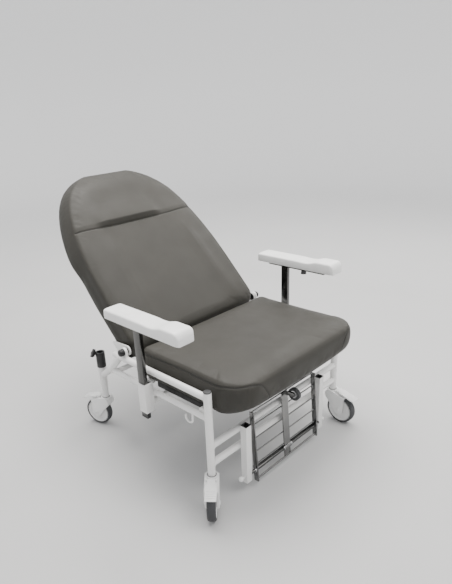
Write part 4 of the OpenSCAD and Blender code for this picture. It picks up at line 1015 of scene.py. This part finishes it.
def castor_details():
    rim_out, rim_r, rib_out, rib_r, tread_out, tread_r = 14.9, 51.8, 12.7, 36, 6, 62.1
    spokes, spoke_out, spoke_from, spoke_length = 12, 12.4, 17, 18
    cap_profile, cap_out = [(8, 0), (8, 0.8), (6.5, 1.8), (3, 2.3), (2.6, 1.2)], 26.4
    pedal_from, pedal_top, pedal_drop, pedal_run, grip_half = 62, 143, 14, 50, 15
    seal_z, seal_r = 145.2, 15.6
    for name in ("front_left", "front_right", "rear_left", "rear_right"):
        hub = Vector(JOINTS[name + "_roll"]["pos_m"])
        axle = Vector(JOINTS[name + "_roll"]["axis"])
        swivel = Vector(JOINTS[name + "_swivel"]["pos_m"])
        ahead = axle.cross(Z_AXIS).normalized()
        if (hub - swivel).dot(ahead) < 0:
            ahead = -ahead
        rims, ribs, tread, caps = [], [], [], []
        for face in (-1, 1):
            out = axle * face
            rims.append(ring(hub + out * rim_out * MM, axle, rim_r, 0.9, 64))
            ribs.append(ring(hub + out * rib_out * MM, axle, rib_r, 1.0, 64))
            tread.append(ring(hub + out * tread_out * MM, axle, tread_r, 0.7, 96, 6))
            caps.append(lathe(cap_profile, hub + out * cap_out * MM, out, 28))
        for k in range(spokes):
            turn = 2 * math.pi * k / spokes
            spoke = ahead * math.cos(turn) + Z_AXIS * math.sin(turn)
            for face in (-1, 1):
                a = hub + axle * face * spoke_out * MM + spoke * spoke_from * MM
                line = [a, a + spoke * spoke_length / 2 * MM, a + spoke * spoke_length * MM]
                ribs.append(sweep(line, 0.9 * MM, 6))
        base = Vector((swivel.x, swivel.y, 0))
        grips = []
        for u in (80, 88, 96, 104):
            z = pedal_top - (u - pedal_from) * pedal_drop / pedal_run + 0.2
            middle = base + ahead * u * MM + Z_AXIS * z * MM
            reach = axle * grip_half * MM
            grips.append(sweep([middle - reach, middle, middle + reach], 1.0 * MM, 8))
        seal = ring(base + Z_AXIS * seal_z * MM, Z_AXIS, seal_r, 1.0)
        for piece, parts, mat, body, slot in (
                ("rim_lines", rims, GREY, "wheel", "tyre"),
                ("hub_ribs", ribs, CASTOR, "wheel", "castor_white"),
                ("tread_lines", tread, TYRE, "wheel", "tyre"),
                ("axle_caps", caps, CASTOR, "swivel", "castor_white"),
                ("pedal_grips", grips, CASTOR, "brake", "castor_white"),
                ("swivel_seal", [seal], GREY, "swivel", "castor_white")):
            mesh_piece(f"{name}_{piece}", *gather(parts), mat, f"{name}_{body}", slot)


def footrest_place(x, y, z):
    """A place on the folded footrest, which leans back a little, in the row frame."""
    lean = math.radians(4)
    return at(x, -38 + y * math.cos(lean) + z * math.sin(lean),
        71 - y * math.sin(lean) + z * math.cos(lean))


def footrest_details():
    """Weld beads where the footrest's wires meet its side bars and its centre bar."""
    profile = [(3.6, 0), (3.4, 1.2), (2.7, 2.4)]
    wires, first, pitch, side_x, middle_x = 5, 13, 56, 187, 18
    nubs = []
    for k in range(wires):
        for side, _ in SIDES:
            for x, out in ((side_x, -side), (middle_x, side)):
                centre = footrest_place(side * x, 5, first + pitch * k)
                nubs.append(lathe(profile, centre, out * X_AXIS, 16))
    mesh_piece("footrest_wire_welds", *gather(nubs), BRIGHT, "footrest", "satin_steel")


def outline_inset(points, inset):
    """A closed outline (pairs of numbers) drawn in by a distance."""
    out = []
    for k, p in enumerate(points):
        a, b = points[k - 1], points[(k + 1) % len(points)]
        dx, dy = b[0] - a[0], b[1] - a[1]
        size = math.hypot(dx, dy) or 1
        out.append((p[0] - dy / size * inset, p[1] + dx / size * inset))
    return out


def hem(name, outline, place, width, body):
    """Vinyl turned over a board's edge, with staples; place puts (x, along, lift) in the frame."""
    rows = [(0, 0.2), (2, 1.0), (width - 3, 1.1), (width, 0.2)]
    staple_from_edge, staple_gap, first_gap, staple_lift = 7, 32, 30, 1.7
    verts = []
    for inset, h in rows:
        for k, (x, y) in enumerate(outline_inset(outline, inset)):
            pleat = 0.35 * math.sin(k * 1.7) * (h > 0.5)
            verts.append(place(x, y, h + pleat))
    faces = bands(len(rows), len(outline), closed=True)
    mesh_piece(name, verts, faces, VINYL, body, "upholstery")
    middle = outline_inset(outline, width - staple_from_edge)
    staples, walked = [], first_gap
    for a, b in zip(middle, middle[1:] + middle[:1]):
        step = math.hypot(b[0] - a[0], b[1] - a[1])
        walked += step
        if walked > staple_gap and step > 0:
            walked = 0
            ux, uy = (b[0] - a[0]) / step, (b[1] - a[1]) / step
            ends = [place(a[0] + ux * d, a[1] + uy * d, staple_lift) for d in (0, 5, 10)]
            staples.append(sweep(ends, 0.6 * MM, 6))
    mesh_piece(name + "_staples", *gather(staples), BRIGHT, body, "bright_steel")


def evenly(points, step):
    """A closed outline walked in even steps."""
    out = []
    for a, b in zip(points, points[1:] + points[:1]):
        dx, dy = b[0] - a[0], b[1] - a[1]
        n = max(1, round(math.hypot(dx, dy) / step))
        out += [(a[0] + dx * k / n, a[1] + dy * k / n) for k in range(n)]
    return out


def both_sides(right, step=9):
    """The closed outline of a symmetrical board, from the points of its right side."""
    return evenly(right + [(-x, y) for x, y in reversed(right)], step)


def hems():
    shares = [0.5 - 0.5 * math.cos(math.pi * k / 60) for k in range(61)]
    middle = (SEAT_REAR - SEAT_FRONT) / 2
    seat_in, seat_shrink, back_in, back_shrink, back_from = 12, 0.965, 6, 0.975, -26

    def board_y(y):
        drawn = y * SEAT_TUCK if y < 0 else y
        return middle + (drawn - middle) * seat_shrink
    ys = [-SEAT_FRONT + (SEAT_FRONT + SEAT_REAR) * share for share in shares]
    seat_outline = both_sides([(seat_half(y) - seat_in, board_y(y)) for y in ys])
    hem("seat_hem", seat_outline, lambda x, y, h: at(x, y, 384 - h), 28, "frame")
    ups = [back_from + (BACK_TOP - back_from) * share for share in shares]
    back_outline = both_sides([(back_half(min(u, BACK_TOP)) - back_in, u * back_shrink)
        for u in ups])
    hem("back_hem", back_outline, lambda x, u, h: back_place((x, u, -58 - h)), 30, "back")


def knob_details():
    face_out, profile = 40, [(5, -1), (5, 0.8), (4.2, 1.4), (2.4, 1.5)]
    for side, name in SIDES:
        joint = JOINTS[f"star_knob_{name}_turn"]
        axis = Vector(joint["axis"])
        face = Vector(joint["pos_m"]) + axis * face_out * MM
        mesh_piece(f"star_insert_{name}", *lathe(profile, face, axis, 24), BLACK,
            f"star_knob_{name}", "black_plastic")


# Light, floor and camera

PICTURE_WIDTH, PICTURE_HEIGHT, SENSOR = 452, 584, 36
# The wall colour, and the distances over which the floor pales into it, are painted light that
# stands in for the light the wall lacks
FLOOR_DARK, FLOOR_LIGHT, PAINTED_LIGHT_WALL = (0.48, 0.48, 0.48), (0.5, 0.5, 0.5), (0.9, 0.9, 0.9)
PAINTED_LIGHT_FROM, PAINTED_LIGHT_TO = 2.0, 8.0
SKY, SKY_STRENGTH = (0.975, 0.985, 1, 1), 1.2
LAMP = (1, 0.975, 0.94)
# Each light as (name, place, target, size, power)
LIGHTS = (("key", (0.8, -2.2, 3.6), (0, 0, 0.5), 2.4, 80),
    ("side", (3.0, 0.2, 2.8), (0, 0, 0.5), 2.4, 60),
    ("top", (0.2, 0.7, 4.0), (0, 0, 0.4), 3.0, 250))


def floor_mesh():
    """A round studio floor whose rim curves up into a wall."""
    flat, bend, height, steps = 6.0, 2.0, 6.0, 96
    profile = [(1.5, 0.0), (3.0, 0.0), (flat, 0.0)]
    turns = [math.radians(q) for q in range(10, 91, 10)]
    profile += [(flat + bend * math.sin(q), bend - bend * math.cos(q)) for q in turns]
    profile.append((flat + bend, height))
    around = [2 * math.pi * k / steps for k in range(steps)]
    verts = [(0, 0, 0)]
    verts += [(r * math.cos(t), r * math.sin(t), z) for r, z in profile for t in around]
    faces = [(0, 1 + k, 1 + (k + 1) % steps) for k in range(steps)]
    for i in range(len(profile) - 1):
        a, b = 1 + i * steps, 1 + (i + 1) * steps
        for k in range(steps):
            n = (k + 1) % steps
            faces.append((a + k, b + k, b + n, a + n))
    mesh = bpy.data.meshes.new("floor")
    mesh.from_pydata(verts, [], faces)
    for poly in mesh.polygons:
        poly.use_smooth = True
    return mesh


def stage():
    mesh = floor_mesh()
    floor = bpy.data.objects.new("floor", mesh)
    scene.collection.objects.link(floor)
    mat, tree, bsdf, where = new_material("pale_floor")
    tint = ramp(tree, noise_node(tree, where, 1.5, 4.0), [(0.3, FLOOR_DARK), (0.7, FLOOR_LIGHT)])
    # Painted light: the wall is painted paler than the floor, to make up for the less light that
    # reaches it
    away = tree.nodes.new("ShaderNodeVectorMath")
    away.operation = "LENGTH"
    tree.links.new(where, away.inputs[0])
    painted_light_share = span(tree, away.outputs["Value"], 0.0, 1.0, PAINTED_LIGHT_FROM, PAINTED_LIGHT_TO)
    tree.links.new(mixed(tree, painted_light_share, tint, PAINTED_LIGHT_WALL), bsdf.inputs["Base Color"])
    put(bsdf, {"Roughness": 0.9, "Specular IOR Level": 0.1})
    mesh.materials.append(mat)
    floor.location.z = -0.5 * MM

    world = bpy.data.worlds.new("studio")
    scene.world = world
    world.use_nodes = True
    put(world.node_tree.nodes["Background"], {"Color": SKY, "Strength": SKY_STRENGTH})
    for name, place, target, size, power in LIGHTS:
        light = bpy.data.lights.new(name, "AREA")
        light.shape = "DISK"
        light.size = size
        light.energy = power
        light.color = LAMP
        obj = bpy.data.objects.new(name, light)
        scene.collection.objects.link(obj)
        obj.location = place
        ray = Vector(target) - Vector(place)
        obj.rotation_euler = ray.to_track_quat("-Z", "Y").to_euler()


def camera():
    """The photo's camera, solved in pixels and degrees."""
    focal, cx, cy = 523.1, 190.8, 313.3
    yaw, pitch, roll = math.radians(-42.49), math.radians(22.16), math.radians(-3.76)
    place = Vector((-1.401, -1.059 - MIDDLE_Y, 1.350))
    ahead = Vector((-math.sin(yaw) * math.cos(pitch), math.cos(yaw) * math.cos(pitch),
        -math.sin(pitch)))
    level = ahead.cross(Z_AXIS).normalized()
    upright = level.cross(ahead)
    right = level * math.cos(roll) + upright * math.sin(roll)
    up = -level * math.sin(roll) + upright * math.cos(roll)
    data = bpy.data.cameras.new("camera")
    data.sensor_width = SENSOR
    data.lens = focal * SENSOR / PICTURE_HEIGHT
    data.shift_x = (PICTURE_WIDTH / 2 - cx) / PICTURE_HEIGHT
    data.shift_y = (cy - PICTURE_HEIGHT / 2) / PICTURE_HEIGHT
    data.clip_start = 0.05
    data.clip_end = 200
    obj = bpy.data.objects.new("camera", data)
    scene.collection.objects.link(obj)
    turn = Matrix((right, up, -ahead)).transposed()
    obj.matrix_world = Matrix.Translation(place) @ turn.to_4x4()
    scene.camera = obj


camera()
stage()
dress_nodes()
seat_cushion()
back_cushion()
for pad_side, pad_name in SIDES:
    arm_pad(pad_side, pad_name)
frame_welds()
screws()
liners()
hinge_caps()
seat_skirts()
castor_details()
footrest_details()
hems()
knob_details()
